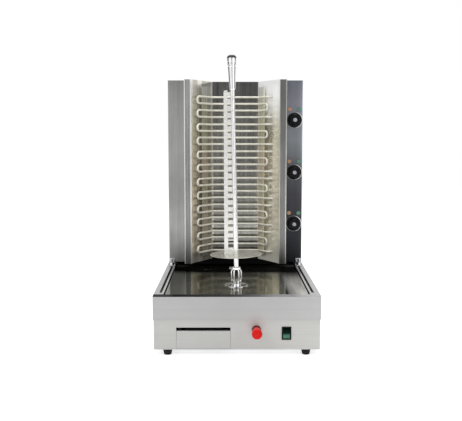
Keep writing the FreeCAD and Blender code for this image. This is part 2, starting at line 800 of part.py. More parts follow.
def lean(item):
    """Stands a spit piece in the socket: the rod has play there, so the spit leans a little to the left."""
    place(item, y="spit_y", z="pivot_z")
    item.Placement.Rotation = FreeCAD.Rotation(FreeCAD.Vector(0, -1, 0), 1)
    item.setExpression("Placement.Rotation.Angle", ref("spit_lean"))


def build_spit_rod():
    body = new_body("spit_rod")
    slab(body, "XY_Plane", [circle("0", "0", "rod_dia")], "socket_bottom - pivot_z + rod_floor_gap",
         "grip_bottom - pivot_z")
    lean(body)


def build_spit_blade():
    """Ladder blade welded to the rod: an upright bar, rungs at an even pitch and a solid foot on the disc."""
    body = new_body("spit_blade")
    foot = "(disc_level + disc_sheet - pivot_z)"
    head = "(blade_top - pivot_z)"
    bar = [("-blade_foot_reach", foot), ("-blade_foot_reach + blade_bar_width", foot),
           ("-blade_head_reach + blade_bar_width", head), ("-blade_head_reach + 3", head),
           ("-blade_head_reach", f"{head} - 4")]
    slab(body, "XZ_Plane", [bar], "-blade_bar_thickness / 2", "blade_bar_thickness / 2")
    root = "-rod_dia / 2 - 0.05"
    base = rectangle("-blade_foot_reach + 1", root, foot, f"{foot} + blade_foot_height")
    slab(body, "XZ_Plane", [base], "-rung_thickness / 2", "rung_thickness / 2")
    level = "(low_rung_level - pivot_z)"
    low_rung = rectangle("-blade_foot_reach + blade_bar_width / 2", root,
                         f"{level} - low_rung_height / 2", f"{level} + low_rung_height / 2")
    slab(body, "XZ_Plane", [low_rung], "-rung_thickness / 2", "rung_thickness / 2")
    level = "(rung_first - pivot_z)"
    rung = rectangle("-blade_head_reach + 1", root, f"{level} - rung_height / 2", f"{level} + rung_height / 2")
    first = slab(body, "XZ_Plane", [rung], "-rung_thickness / 2", "rung_thickness / 2")
    repeat_along(body, first, "Z_Axis", "rung_pitch * (rung_count - 1)", "rung_count")
    lean(body)


def build_meat_disc():
    """Thin round plate with a rounded edge that carries the meat."""
    body = new_body("meat_disc")
    low = "(disc_level - pivot_z)"
    high = f"({low} + disc_sheet)"
    bore = "rod_dia / 2 + 0.1"
    edge = "disc_dia / 2"
    turned(body, "XZ_Plane", [(bore, low), (f"{edge} - 0.5", low), (edge, f"{low} + 0.4"),
                              (edge, f"{high} - 0.4"), (f"{edge} - 0.5", high), (bore, high)])
    lean(body)


def build_disc_hub():
    body = new_body("disc_hub")
    high = "(disc_level - pivot_z)"
    low = f"({high} - hub_height)"
    bore = "rod_dia / 2 + 0.1"
    edge = "hub_dia / 2"
    turned(body, "XZ_Plane", [(bore, low), (f"{edge} - 1.5", low), (edge, f"{low} + 1.5"), (edge, high),
                              (bore, high)])
    lean(body)


def build_spit_handle():
    """Tapered grip on top of the rod."""
    body = new_body("spit_handle")
    low = "(grip_bottom - pivot_z)"
    high = "(grip_top - pivot_z)"
    turned(body, "XZ_Plane", [("0", low), ("grip_bottom_dia / 2 - 1", low),
                              ("grip_bottom_dia / 2", f"{low} + 2"), ("grip_top_dia / 2", f"{high} - 2"),
                              ("grip_top_dia / 2 - 2", high), ("0", high)])
    lean(body)


def build_handle_cap():
    """Neck, ring and domed knob that close the grip."""
    body = new_body("handle_cap")
    low = "(grip_top - pivot_z)"
    neck = f"({low} + cap_neck_height)"
    ring = f"({neck} + cap_ring_height)"
    high = f"({ring} + cap_height + 1)"
    turned(body, "XZ_Plane", [("0", low), ("cap_neck_dia / 2", low), ("cap_neck_dia / 2", neck),
                              ("cap_ring_dia / 2", neck), ("cap_ring_dia / 2", ring),
                              ("cap_dia / 2", f"{ring} + 1"), ("cap_dia / 2", high), ("0", high)])
    round_rim(body, "cap_round", high, "cap_dia")
    lean(body)


# ---------------------------------------------------------------- heater head

def head_outline(notch):
    """Plan of the head inside its skins. The notch is the open heating space, closed by straight wings."""
    side_front = "panel_y + head_sheet"
    side = "head_half - head_sheet"
    shoulder = "post_outer - head_sheet"
    back = "head_back - head_sheet"
    if notch:
        skin = "reflector_sheet"
        middle = [(f"mouth_half + {skin}", "wing_front"),
                  (f"back_half + {skin} * 0.6", f"wing_back + {skin}"),
                  (f"-back_half - {skin} * 0.6", f"wing_back + {skin}"),
                  (f"-mouth_half - {skin}", "wing_front")]
    else:
        middle = []
    return [(f"-({side})", side_front), (f"-({side})", back), (side, back), (side, side_front),
            (shoulder, side_front), (shoulder, "wing_front"), *middle,
            (f"-({shoulder})", "wing_front"), (f"-({shoulder})", side_front)]


def build_head_floor():
    body = new_body("head_floor")
    slab(body, "XY_Plane", [head_outline(False)], "head_bottom", "head_floor_top")


def build_head_top():
    body = new_body("head_top")
    slab(body, "XY_Plane", [head_outline(True)], "head_top - head_sheet", "head_top")


def build_head_wrapper():
    """One sheet folded round both sides and the back, with a service opening at the rear."""
    body = new_body("head_wrapper")
    start = "panel_y + head_sheet"
    inner = "head_half - head_sheet"
    plan = [("-head_half", start), ("-head_half", "head_back"), ("head_half", "head_back"),
            ("head_half", start), (inner, start), (inner, "head_back - head_sheet"),
            (f"-({inner})", "head_back - head_sheet"), (f"-({inner})", start)]
    slab(body, "XY_Plane", [plan], "head_bottom", "head_top")
    opening = rectangle("-rear_cover_width / 2 + rear_cover_lap", "rear_cover_width / 2 - rear_cover_lap",
                        "head_bottom + rear_cover_margin + rear_cover_lap",
                        "head_top - rear_cover_margin - rear_cover_lap")
    cut(body, "XZ_Plane", [opening], "head_back - head_sheet - 1", "head_back + 1")
    round_folds(body, "fold_radius", [("-head_half", "head_back"), ("head_half", "head_back")])


def build_rear_cover():
    """Removable back plate with two columns of cooling slots."""
    body = new_body("rear_cover")
    plate = rectangle("-rear_cover_width / 2", "rear_cover_width / 2",
                      "head_bottom + rear_cover_margin", "head_top - rear_cover_margin")
    slab(body, "XZ_Plane", [plate], "head_back", "head_back + head_sheet")
    low = "head_bottom + rear_cover_margin + louvre_margin"
    slots = [rectangle("-louvre_width - louvre_inset", "-louvre_inset", low, f"{low} + louvre_height"),
             rectangle("louvre_inset", "louvre_width + louvre_inset", low, f"{low} + louvre_height")]
    row = cut(body, "XZ_Plane", slots, "head_back - 1", "head_back + head_sheet + 1")
    repeat_along(body, row, "Z_Axis", "louvre_pitch * (louvre_count - 1)", "louvre_count")


KNOB_LEVELS = [f"(knob_mid_z + {step} * knob_pitch)" for step in (1, 0, -1)]


def build_left_front_panel():
    body = new_body("left_front_panel")
    plate = rectangle("-head_half", "-post_outer", "head_bottom", "head_top")
    slab(body, "XZ_Plane", [plate], "panel_y", "panel_y + head_sheet")


def build_control_panel():
    """Right front panel with three spindle holes and a pair of lamp holes over each."""
    body = new_body("control_panel")
    plate = rectangle("post_outer", "head_half", "head_bottom", "head_top")
    slab(body, "XZ_Plane", [plate], "panel_y", "panel_y + head_sheet")
    holes = []
    for level in KNOB_LEVELS:
        holes.append(circle("knob_x", level, "spindle_dia + 4"))
        for side in ("-", "+"):
            holes.append(circle(f"knob_x {side} lamp_spread", f"{level} + lamp_rise", "lamp_hole_dia + 0.4"))
    cut(body, "XZ_Plane", holes, "panel_y - 1", "panel_y + head_sheet + 1")


def build_post(label, side):
    """Folded corner post beside the mouth: a front face and a wall back to the side panel."""
    body = new_body(label)
    profile = [("mouth_half", "head_front"), ("post_outer", "head_front"),
               ("post_outer", "panel_y + head_sheet"), ("post_outer - head_sheet", "panel_y + head_sheet"),
               ("post_outer - head_sheet", "wing_front"), ("mouth_half", "wing_front")]
    slab(body, "XY_Plane", [[(f"{side} * ({x})", y) for x, y in profile]], "head_bottom", "head_top")
    round_folds(body, "post_fold",
                [(f"{side} * mouth_half", "head_front"), (f"{side} * post_outer", "head_front")])


def build_reflector_back():
    body = new_body("reflector_back")
    plan = rectangle("-back_half", "back_half", "wing_back", "wing_back + reflector_sheet")
    slab(body, "XY_Plane", [plan], "head_floor_top", "head_top")


def tail_levels():
    """Heights of the element tails: the top and the bottom run of every element."""
    levels = []
    for index in range(int(value("element_count"))):
        middle = element_level(index)
        levels += [f"({middle} + 1.5 * run_pitch)", f"({middle} - 1.5 * run_pitch)"]
    return levels


def element_level(index):
    """Middle height of an element, counted from the top."""
    return f"(element_mid_z + ((element_count - 1) / 2 - {index}) * (3 * run_pitch + element_gap))"


def build_reflector_wing(label, side):
    """Slanting side of the heating space. The right one is pierced by the tails of the elements."""
    body = new_body(label)
    plan = [("mouth_half", "wing_front"), ("mouth_half + reflector_sheet", "wing_front"),
            ("back_half + reflector_sheet", "wing_back"), ("back_half", "wing_back")]
    slab(body, "XY_Plane", [[(f"{side} * ({x})", y) for x, y in plan]], "head_floor_top", "head_top")
    if side > 0:
        holes = [circle("head_front + right_bend_depth", level, "tube_dia + 2 * tail_hole_play")
                 for level in tail_levels()]
        cut(body, "YZ_Plane", holes, "back_half", "mouth_half + 5")


def build_insulation():
    body = new_body("insulation_board")
    start = "wing_back + reflector_sheet"
    plan = rectangle("-back_half + 4", "back_half - 4", start, f"{start} + insulation_depth")
    slab(body, "XY_Plane", [plan], "head_floor_top + insulation_margin", "head_top - insulation_margin")


def rounded_path(points, radii):
    """Wire through the points, straight between them, with a tangent arc of the given radius at each corner."""
    edges = []
    start = points[0]
    for index in range(1, len(points) - 1):
        corner = points[index]
        inward = (points[index - 1] - corner).normalize()
        onward = (points[index + 1] - corner).normalize()
        half_turn = inward.getAngle(onward) / 2
        reach = radii[index - 1] / math.tan(half_turn)
        first = corner + inward * reach
        last = corner + onward * reach
        bisector = (inward + onward).normalize()
        centre = corner + bisector * (radii[index - 1] / math.sin(half_turn))
        middle = centre - bisector * radii[index - 1]
        if (first - start).Length > 1e-6:
            edges.append(Part.LineSegment(start, first).toShape())
        edges.append(Part.Arc(first, middle, last).toShape())
        start = last
    if (points[-1] - start).Length > 1e-6:
        edges.append(Part.LineSegment(start, points[-1]).toShape())
    return Part.Wire(edges)


def build_heating_element(index):
    """Tube bent into an M on its side, which follows the reflector in plan with a kink at either side."""
    middle = value(element_level(index))
    pitch = value("run_pitch")
    front = value("head_front")
    flat = value("tube_flat_half")
    kink_y = value("tube_y")
    left_x, left_y = -value("left_bend_x"), front + value("left_bend_depth")
    right_x, right_y = value("right_bend_x"), front + value("right_bend_depth")
    levels = [middle + pitch * step for step in (1.5, 0.5, -0.5, -1.5)]
    bend = pitch / 2
    kink = value("tube_kink_radius")

    def at(x, y, z):
        return FreeCAD.Vector(x, y, z)

    points = [at(value("tail_end_x"), right_y, levels[0])]
    radii = []
    for number, level in enumerate(levels):
        across = [(right_x, right_y), (flat, kink_y), (-flat, kink_y), (left_x, left_y)]
        corner_radii = [bend, kink, kink, bend]
        if number % 2:
            across.reverse()
            corner_radii.reverse()
        if number == 0:
            corner_radii[0] = value("tail_turn_radius")
        if number == len(levels) - 1:
            corner_radii[-1] = value("tail_turn_radius")
        points += [at(x, y, level) for x, y in across]
        radii += corner_radii
    points.append(at(value("tail_end_x"), right_y, levels[-1]))
    path = rounded_path(points, radii)
    section = Part.Wire(Part.Circle(points[0], FreeCAD.Vector(1, 0, 0), value("tube_dia") / 2).toShape())
    tube = path.makePipeShell([section], True, False)
    feature = doc.addObject("Part::Feature", f"heating_element_{index + 1}")
    feature.Label = f"heating_element_{index + 1}"
    feature.Shape = tube


def build_element_supports():
    """Two upright strips behind the slanting runs, each held off its wing by three folded tabs."""
    body = new_body("element_supports")
    fall = "(wing_front - wing_back)"
    inner = "(tube_dia / 2 + support_play)"
    outer = f"({inner} + support_sheet)"
    for side, bend_x, bend_depth, shift in ((-1, "left_bend_x", "left_bend_depth", "left_support_shift"),
                                            (1, "right_bend_x", "right_bend_depth", "right_support_shift")):
        run = f"({bend_x} - back_half)"
        drop = f"({bend_depth} - tube_depth)"
        length = f"sqrt({run} * {run} + {drop} * {drop})"

        def spot(along, off):
            """Point this far along the slanting run from its inner end and this far off it, wingwards."""
            x = f"{side} * (back_half + (({along}) * {run} - ({off}) * {drop}) / {length})"
            return x, f"tube_y + (({along}) * {drop} + ({off}) * {run}) / {length}"

        def wing_gap(along):
            """Distance from the run to the wing, square to the run."""
            depth = f"((tube_y - wing_back) * {length} + ({along}) * {drop})"
            return f"({depth} * wing_run - ({along}) * {run} * {fall}) / (-{drop} * {fall} - {run} * wing_run)"

        low = f"({shift} - support_width / 2)"
        high = f"({shift} + support_width / 2)"
        strip = [spot(low, inner), spot(high, inner), spot(high, outer), spot(low, outer)]
        slab(body, "XY_Plane", [strip], "head_floor_top + support_margin", "head_top - support_margin")
        near = f"({shift} - support_tab / 2)"
        far = f"({shift} + support_tab / 2)"
        tab = [spot(near, outer), spot(far, outer), spot(far, wing_gap(far)), spot(near, wing_gap(near))]
        for step in (-1, 0, 1):
            middle = f"element_mid_z + {step} * knob_pitch"
            slab(body, "XY_Plane", [tab], f"{middle} - support_tab / 2", f"{middle} + support_tab / 2")


def build_slide_shoes():
    """Four shoes under the head that run in the grooves."""
    body = new_body("slide_shoes")
    for side in (-1, 1):
        for start in ("panel_y + front_shoe_setback", "panel_y + rear_shoe_setback"):
            stop = f"{start} + shoe_length"
            pad = rectangle(f"{side} * clamp_x - shoe_pad_width / 2", f"{side} * clamp_x + shoe_pad_width / 2",
                            start, stop)
            slab(body, "XY_Plane", [pad], "base_top + shoe_play", "head_bottom")
            half = "(groove_width / 2 - shoe_play)"
            tongue = rectangle(f"{side} * clamp_x - {half}", f"{side} * clamp_x + {half}", start, stop)
            slab(body, "XY_Plane", [tongue], "groove_bottom + base_sheet + groove_floor_gap",
                 "base_top + shoe_play")


def build_clamp_brackets():
    """Angle brackets on the foot of both side panels; each stands over a groove."""
    body = new_body("clamp_brackets")
    low = "base_top + shoe_play"
    for side in (-1, 1):
        left = f"({side} * clamp_x - clamp_width / 2)"
        profile = [("panel_y", low), ("panel_y", f"{low} + clamp_height"),
                   ("panel_y - clamp_sheet", f"{low} + clamp_height"),
                   ("panel_y - clamp_sheet", f"{low} + clamp_sheet"),
                   ("panel_y - clamp_foot", f"{low} + clamp_sheet"), ("panel_y - clamp_foot", low)]
        slab(body, "YZ_Plane", [profile], left, f"{left} + clamp_width")
    centre = "panel_y - clamp_foot / 2 - clamp_screw_inset"
    holes = [circle(f"{side} * clamp_x", centre, "clamp_screw_dia + 0.4") for side in (-1, 1)]
    cut(body, "XY_Plane", holes, f"{low} - 1", f"{low} + clamp_sheet + 1")
    half = "clamp_slot_width / 2"
    slots = [rectangle(f"{side} * clamp_x - {half}", f"{side} * clamp_x + {half}",
                       f"{low} + clamp_height - clamp_sheet - clamp_slot_height",
                       f"{low} + clamp_height - clamp_sheet") for side in (-1, 1)]
    cut(body, "XZ_Plane", slots, "panel_y - clamp_sheet - 1", "panel_y + 1")


def build_clamp_screws():
    """Screw and groove nut of each clamp."""
    body = new_body("clamp_screws")
    top = "base_top + shoe_play + clamp_sheet"
    centre = "panel_y - clamp_foot / 2 - clamp_screw_inset"
    nut_bottom = "(base_top - clamp_nut_depth)"

    def pair(diameter):
        return [circle(f"{side} * clamp_x", centre, diameter) for side in (-1, 1)]

    slab(body, "XY_Plane", pair("clamp_screw_dia"), nut_bottom, f"{top} + 1")
    slab(body, "XY_Plane", pair("clamp_head_dia"), top, f"{top} + clamp_head_height")
    slab(body, "XY_Plane", pair("groove_width - 2 * shoe_play"), nut_bottom, f"{nut_bottom} + clamp_nut_height")


# ---------------------------------------------------------------- controls

def build_knob(number, level):
    """Round knob with a skirt, a fluted grip, a small cap in the middle, and its spindle."""
    body = new_body(f"knob_{number}")
    skirt = "knob_dia / 2"
    grip = "knob_grip_dia / 2"
    cap = "knob_cap_dia / 2"
    turned(body, "XY_Plane", [("0", "0"), (f"{skirt} - 1.5", "0"), (skirt, "-1.5"),
                              (skirt, "-knob_skirt_height + 2"), (f"{skirt} - 2", "-knob_skirt_height"),
                              (f"{grip} + 1", "-knob_skirt_height - 1"), (grip, "-knob_height + 2"),
                              (f"{grip} - 2", "-knob_height"), (cap, "-knob_height"),
                              (cap, "-knob_height - knob_cap_proud"), ("0", "-knob_height - knob_cap_proud")])
    flute = circle(f"{grip} - knob_flute_depth + knob_flute_dia / 2", "0", "knob_flute_dia")
    groove = cut(body, "XZ_Plane", [flute], "-knob_height - 1", "-knob_skirt_height - 1.5")
    repeat_round(body, groove, "Y_Axis", "knob_flute_count")
    slab(body, "XZ_Plane", [circle("0", "0", "spindle_dia")], "-1", "knob_gap + head_sheet + spindle_reach")
    place(body, x="knob_x", y="panel_y - knob_gap", z=level)


def build_dial_rings():
    """Flat rings under the knobs."""
    body = new_body("dial_rings")
    rings = []
    for level in KNOB_LEVELS:
        rings += [circle("knob_x", level, "dial_ring_dia"), circle("knob_x", level, "dial_ring_bore")]
    slab(body, "XZ_Plane", rings, "panel_y - dial_ring_height", "panel_y")


def build_regulators():
    """Energy regulators behind the control panel, one for each knob."""
    body = new_body("energy_regulators")
    half = "regulator_size / 2"
    start = "panel_y + head_sheet"
    for level in KNOB_LEVELS:
        box = rectangle(f"knob_x - {half}", f"knob_x + {half}", f"{level} - {half}", f"{level} + {half}")
        slab(body, "XZ_Plane", [box], start, f"{start} + regulator_depth")
    cut(body, "XZ_Plane", [circle("knob_x", level, "spindle_dia + 2 * running_gap") for level in KNOB_LEVELS],
        start, f"{start} + spindle_reach + 1")


def build_lamps(label, side):
    """Pilot lamps of one colour: a lens on the panel and a body behind it."""
    body = new_body(label)
    centres = [(f"knob_x {side} lamp_spread", f"{level} + lamp_rise") for level in KNOB_LEVELS]
    slab(body, "XZ_Plane", [circle(x, z, "lamp_hole_dia") for x, z in centres], "panel_y",
         "panel_y + lamp_tail")
    slab(body, "XZ_Plane", [circle(x, z, "lamp_dia") for x, z in centres], "panel_y - lamp_proud", "panel_y")


def build_stop_button():
    """Red stop button: a long cap that widens to a round face, on a stem through the panel."""
    body = new_body("stop_button")
    face = "button_face_dia / 2"
    stem = "button_stem_dia / 2"
    front = "-(button_reach + housing_inset)"
    root = "-button_collar_height - button_travel_gap"
    end = "switch_depth - switch_block"
    turned(body, "XY_Plane", [("0", front), (f"{face} - button_edge", front), (face, f"{front} + button_edge"),
                              (face, f"{front} + button_rim"), ("button_root_dia / 2", root), (stem, root),
                              (stem, end), ("0", end)])
    place(body, x="button_x", y="housing_front", z="button_z")


def build_stop_collar():
    """Fixed collar of the stop button, with its threaded barrel through the panel."""
    body = new_body("stop_collar")
    edge = "button_collar_dia / 2"
    barrel = "button_hole_dia / 2"
    bore = "button_stem_dia / 2 + 0.3"
    turned(body, "XY_Plane", [(bore, "-button_collar_height"), (f"{edge} - 2", "-button_collar_height"),
                              (edge, "-button_collar_height + 2"), (edge, "0"), (barrel, "0"),
                              (barrel, "switch_depth - 4"), (bore, "switch_depth - 4")])
    place(body, x="button_x", y="housing_front", z="button_z")


def build_rocker_frame():
    """Bezel and case of the mains switch."""
    body = new_body("rocker_frame")
    wide = "rocker_frame_width / 2"
    tall = "rocker_frame_height / 2"
    bezel = rectangle(f"rocker_x - {wide}", f"rocker_x + {wide}", f"rocker_z - {tall}", f"rocker_z + {tall}")
    wide = "(rocker_width / 2 + rocker_gap)"
    tall = "(rocker_height / 2 + rocker_gap)"
    window = rectangle(f"rocker_x - {wide}", f"rocker_x + {wide}", f"rocker_z - {tall}", f"rocker_z + {tall}")
    slab(body, "XZ_Plane", [bezel, window], "housing_front - rocker_frame_proud", "housing_front")
    wide = f"({wide} + switch_wall)"
    tall = f"({tall} + switch_wall)"
    case = rectangle(f"rocker_x - {wide}", f"rocker_x + {wide}", f"rocker_z - {tall}", f"rocker_z + {tall}")
    slab(body, "XZ_Plane", [case, window], "housing_front", "housing_front + switch_depth")
    end = "housing_front + switch_depth"
    slab(body, "XZ_Plane", [case], f"{end} - switch_block", end)


def build_rocker():
    """Rocker with a shallow V face, held at rest with its upper side pressed in."""
    body = new_body("rocker")
    half = "rocker_height / 2"
    crown = "-rocker_pivot_depth - rocker_crown"
    shoulder = "rocker_body_depth / 2"
    profile = [("-rocker_pivot_depth - rocker_valley", "0"), (crown, f"{half} * 0.96"), ("0", half),
               (shoulder, f"{half} * 0.95"), ("rocker_body_depth", "0"), (shoulder, f"-{half} * 0.95"),
               ("0", f"-{half}"), (crown, f"-{half} * 0.96")]
    slab(body, "YZ_Plane", [profile], "-rocker_width / 2", "rocker_width / 2")
    place(body, x="rocker_x", y="housing_front + rocker_pivot_depth", z="rocker_z")
    body.Placement.Rotation = FreeCAD.Rotation(FreeCAD.Vector(-1, 0, 0), 1)
    body.setExpression("Placement.Rotation.Angle", ref("rocker_tilt"))


def build_cable_gland():
    """Cable inlet on the back wall."""
    body = new_body("cable_gland")
    edge = "gland_dia / 2"
    neck = "(gland_dia / 2 - gland_shoulder - 0.3)"
    reach = "(gland_reach + housing_inset)"
    bore = "gland_bore / 2"
    turned(body, "XY_Plane", [(bore, "-gland_barrel"), (neck, "-gland_barrel"), (neck, "0"), (edge, "0"),
                              (edge, f"{reach} * 0.5"), (f"{edge} - 1.5", f"{reach} * 0.6"),
                              (f"{edge} - 4", reach), (bore, reach)])
    place(body, x="gland_x", y="housing_back", z="gland_z")


# ---------------------------------------------------------------- build, check, write

build_base_housing()
build_floor_plate()
build_rubber_feet()
build_foot_screws()
build_apron()
build_groove_rail("groove_rail_left", -1)
build_groove_rail("groove_rail_right", 1)
build_drip_tray()
build_cross_members()
build_drawer()
build_drawer_runners()
build_motor_bracket()
build_gear_motor()
build_shaft_bearing()
build_shaft_seal()
build_drive_shaft()
build_drive_coupling()
build_thumb_screw()
build_spit_rod()
build_spit_blade()
build_meat_disc()
build_disc_hub()
build_spit_handle()
build_handle_cap()
build_head_floor()
build_head_top()
build_head_wrapper()
build_rear_cover()
build_left_front_panel()
build_control_panel()
build_post("left_post", -1)
build_post("right_post", 1)
build_reflector_back()
build_reflector_wing("reflector_wing_left", -1)
build_reflector_wing("reflector_wing_right", 1)
build_insulation()
for element in range(int(value("element_count"))):
    build_heating_element(element)
build_element_supports()
build_slide_shoes()
build_clamp_brackets()
build_clamp_screws()
for knob_number, knob_level in enumerate(KNOB_LEVELS, start=1):
    build_knob(knob_number, knob_level)
build_dial_rings()
build_regulators()
build_lamps("amber_lamps", "-")
build_lamps("green_lamps", "+")
build_stop_button()
build_stop_collar()
build_rocker_frame()
build_rocker()
build_cable_gland()

doc.recompute()
for item in doc.Objects:
    if {"Invalid", "Error"} & set(item.State):
        raise RuntimeError(f"{item.Label} failed to build: {item.State}")
pieces = [item for item in doc.Objects if item.TypeId in ("PartDesign::Body", "Part::Feature")]
for piece in pieces:
    if piece.Shape.isNull() or not piece.Shape.isValid():
        raise RuntimeError(f"{piece.Label} has no valid shape")
os.makedirs("parts", exist_ok=True)
for piece in pieces:
    piece.Shape.exportStep(f"parts/{piece.Label}.step")
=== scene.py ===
import math

import bmesh
import bpy
from mathutils import Matrix, Vector


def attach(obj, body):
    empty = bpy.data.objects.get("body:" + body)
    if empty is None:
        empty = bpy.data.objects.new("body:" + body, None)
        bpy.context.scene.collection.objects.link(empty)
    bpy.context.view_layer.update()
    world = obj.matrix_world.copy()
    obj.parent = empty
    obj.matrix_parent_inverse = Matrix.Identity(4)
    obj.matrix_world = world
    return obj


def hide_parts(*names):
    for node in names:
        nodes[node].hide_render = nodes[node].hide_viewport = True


# Looks of an electric skewer grill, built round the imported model. Lengths on the grill are in millimetres,
# which mm() turns into metres. The floor, the studio cards and the lights are placed in metres.


def mm(*values):
    scaled = [value / 1000 for value in values]
    return scaled[0] if len(scaled) == 1 else Vector(scaled)


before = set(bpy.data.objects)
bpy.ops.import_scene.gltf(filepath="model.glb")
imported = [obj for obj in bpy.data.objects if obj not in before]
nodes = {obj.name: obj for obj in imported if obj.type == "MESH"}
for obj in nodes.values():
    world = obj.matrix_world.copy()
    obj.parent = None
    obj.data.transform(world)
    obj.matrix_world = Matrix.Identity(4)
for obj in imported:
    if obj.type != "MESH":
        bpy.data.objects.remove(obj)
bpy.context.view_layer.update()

X, Y, Z = 0, 1, 2  # axes of the part
FRONT = -271.0  # Y of the base's front face, from which depths are counted
SPIT_Y = FRONT + 145

# ---------------------------------------------------------------- materials

NOISE_LOW, NOISE_HIGH = 0.3, 0.7  # most of a noise texture lies between these

# Stretch of the noise in each direction. The grain, or a wipe mark, runs the way of the small number.
GRAIN_UP = (1, 1, 0.01)
GRAIN_ACROSS = (0.01, 1, 1)
GRAIN_BACK = (1, 0.01, 1)
GRAIN_SHORT = (0.1, 1, 1)
GRAIN_NONE = (1, 1, 1)
WIPED = (1, 0.25, 1)
WIPED_LONG = (1, 0.12, 1)

GREY = (1.0, 1.0, 0.97)
OLIVE = (1.0, 0.985, 0.90)
WHITE = (1, 1, 1, 1)
BLACK = (0, 0, 0, 1)


def grey(level, tint=GREY):
    return tuple(level * part for part in tint)


def greys(*stops, tint=GREY):
    """Stops of one tint, from (place, level) pairs."""
    return [(place, grey(level, tint)) for place, level in stops]


class Look:
    """A node material laid out in the part's own space, and the steps that the finishes below are made of."""

    def __init__(self, name):
        self.material = bpy.data.materials.new(name)
        self.material.use_nodes = True
        self.tree = self.material.node_tree
        self.tree.nodes.clear()
        output = self.tree.nodes.new("ShaderNodeOutputMaterial")
        self.shader = self.tree.nodes.new("ShaderNodeBsdfPrincipled")
        self.tree.links.new(self.shader.outputs[0], output.inputs[0])
        self.place = self.tree.nodes.new("ShaderNodeTexCoord").outputs["Object"]

    def plug(self, socket, value):
        """Links another node's socket, or writes a plain number or colour."""
        if isinstance(value, bpy.types.NodeSocket):
            self.tree.links.new(value, socket)
        else:
            socket.default_value = value

    def set(self, key, value):
        self.plug(self.shader.inputs[key], value)

    def node(self, kind, inputs=(), **settings):
        made = self.tree.nodes.new(kind)
        for key, value in settings.items():
            setattr(made, key, value)
        for key, value in dict(inputs).items():
            self.plug(made.inputs[key], value)
        return made

    def mix(self, kind, factor, first, second, **settings):
        """Result of a Mix node of kind RGBA or FLOAT, each of which has its own sockets enabled."""
        made = self.node("ShaderNodeMix", data_type=kind, **settings)
        sockets = {item.name: item for item in made.inputs if item.enabled}
        for key, value in (("Factor", factor), ("A", first), ("B", second)):
            self.plug(sockets[key], (*value, 1) if isinstance(value, tuple) else value)
        return next(item for item in made.outputs if item.enabled)

    def noise(self, scale, detail, stretch=GRAIN_NONE):
        moved = self.node("ShaderNodeMapping", {"Vector": self.place, "Scale": stretch})
        made = self.node("ShaderNodeTexNoise", {"Vector": moved.outputs[0], "Scale": scale, "Detail": detail})
        return made.outputs["Fac"]

    def spread(self, source, low, high):
        """Noise as values from low to high."""
        made = self.node("ShaderNodeMapRange", {"Value": source, "From Min": NOISE_LOW,
                                                "From Max": NOISE_HIGH, "To Min": low, "To Max": high})
        return made.outputs[0]

    def mottle(self, depth, scale, detail, stretch=GRAIN_NONE):
        """Noise as factors that go up to depth under and over 1."""
        return self.spread(self.noise(scale, detail, stretch), 1 - depth, 1 + depth)

    def times(self, first, second):
        return self.node("ShaderNodeMath", {0: first, 1: second}, operation="MULTIPLY").outputs[0]

    def along(self, axis, stops):
        """Value or colour that follows one axis: stops are (place in mm, value or colour) pairs."""
        split = self.node("ShaderNodeSeparateXYZ", {0: self.place})
        low, high = stops[0][0], stops[-1][0]
        part = self.node("ShaderNodeMapRange", {"Value": split.outputs[axis], "From Min": mm(low),
                                                "From Max": mm(high)})
        ramp = self.node("ShaderNodeValToRGB", {0: part.outputs[0]})
        points = ramp.color_ramp.elements
        while len(points) < len(stops):
            points.new(0.5)
        for point, (where, value) in zip(points, stops):
            point.position = (where - low) / (high - low)
            point.color = (*(value if isinstance(value, tuple) else (value,) * 3), 1)
        return ramp.outputs[0]

    def blend(self, mask, first, second):
        """first where the mask is 0, second where it is 1: colours if second is a tuple, else values."""
        return self.mix("RGBA" if isinstance(second, tuple) else "FLOAT", mask, first, second)

    def colour(self, tone, factor):
        """Base colour: a colour, or stops along the height, times a factor and never over white."""
        if isinstance(tone, list):
            tone = self.along(Z, tone)
        self.set("Base Color", self.mix("RGBA", 1.0, tone, factor, blend_type="MULTIPLY", clamp_result=True))

    def bump(self, height, strength, distance):
        made = self.node("ShaderNodeBump", {"Height": height, "Strength": strength, "Distance": mm(distance)})
        self.set("Normal", made.outputs[0])


def brushed(name, tone, rough=0.3, metallic=1.0, grain=GRAIN_UP, depth=0.12, cloud=0.12, painted_light_across=None):
    """Sheet metal with a fine grain and a broad haze; the stops along X paint highlights and shade across it.
    """
    look = Look(name)
    fine = look.mottle(depth, scale=900, detail=4, stretch=grain)
    broad = look.mottle(depth * 0.7, scale=60, detail=3, stretch=grain)
    haze = look.mottle(cloud, scale=9, detail=2)
    factor = look.times(look.times(fine, broad), haze)
    if painted_light_across:
        factor = look.times(factor, look.along(X, painted_light_across))
    look.colour(tone, factor)
    look.set("Metallic", look.along(Z, metallic) if isinstance(metallic, list) else metallic)
    satin = look.noise(scale=300, detail=3, stretch=grain)
    look.set("Roughness", look.spread(satin, rough - 0.05, rough + 0.07))
    look.bump(look.noise(scale=1200, detail=2, stretch=grain), strength=0.05, distance=0.2)
    return look


def moulded(name, tone, rough=0.35, metallic=0.0, depth=0.1, bump=0.12, size=900, coat=0.0, shine=0.5):
    """Moulded plastic, rubber or cast metal with a fine skin and slight mottling."""
    look = Look(name)
    look.colour(tone, look.mottle(depth, scale=70, detail=3))
    look.set("Metallic", metallic)
    look.set("Roughness", look.spread(look.noise(scale=160, detail=3), rough - 0.07, rough + 0.09))
    look.set("Specular IOR Level", shine)
    look.set("Coat Weight", coat)
    look.bump(look.noise(scale=size, detail=3), strength=bump, distance=0.15)
    return look


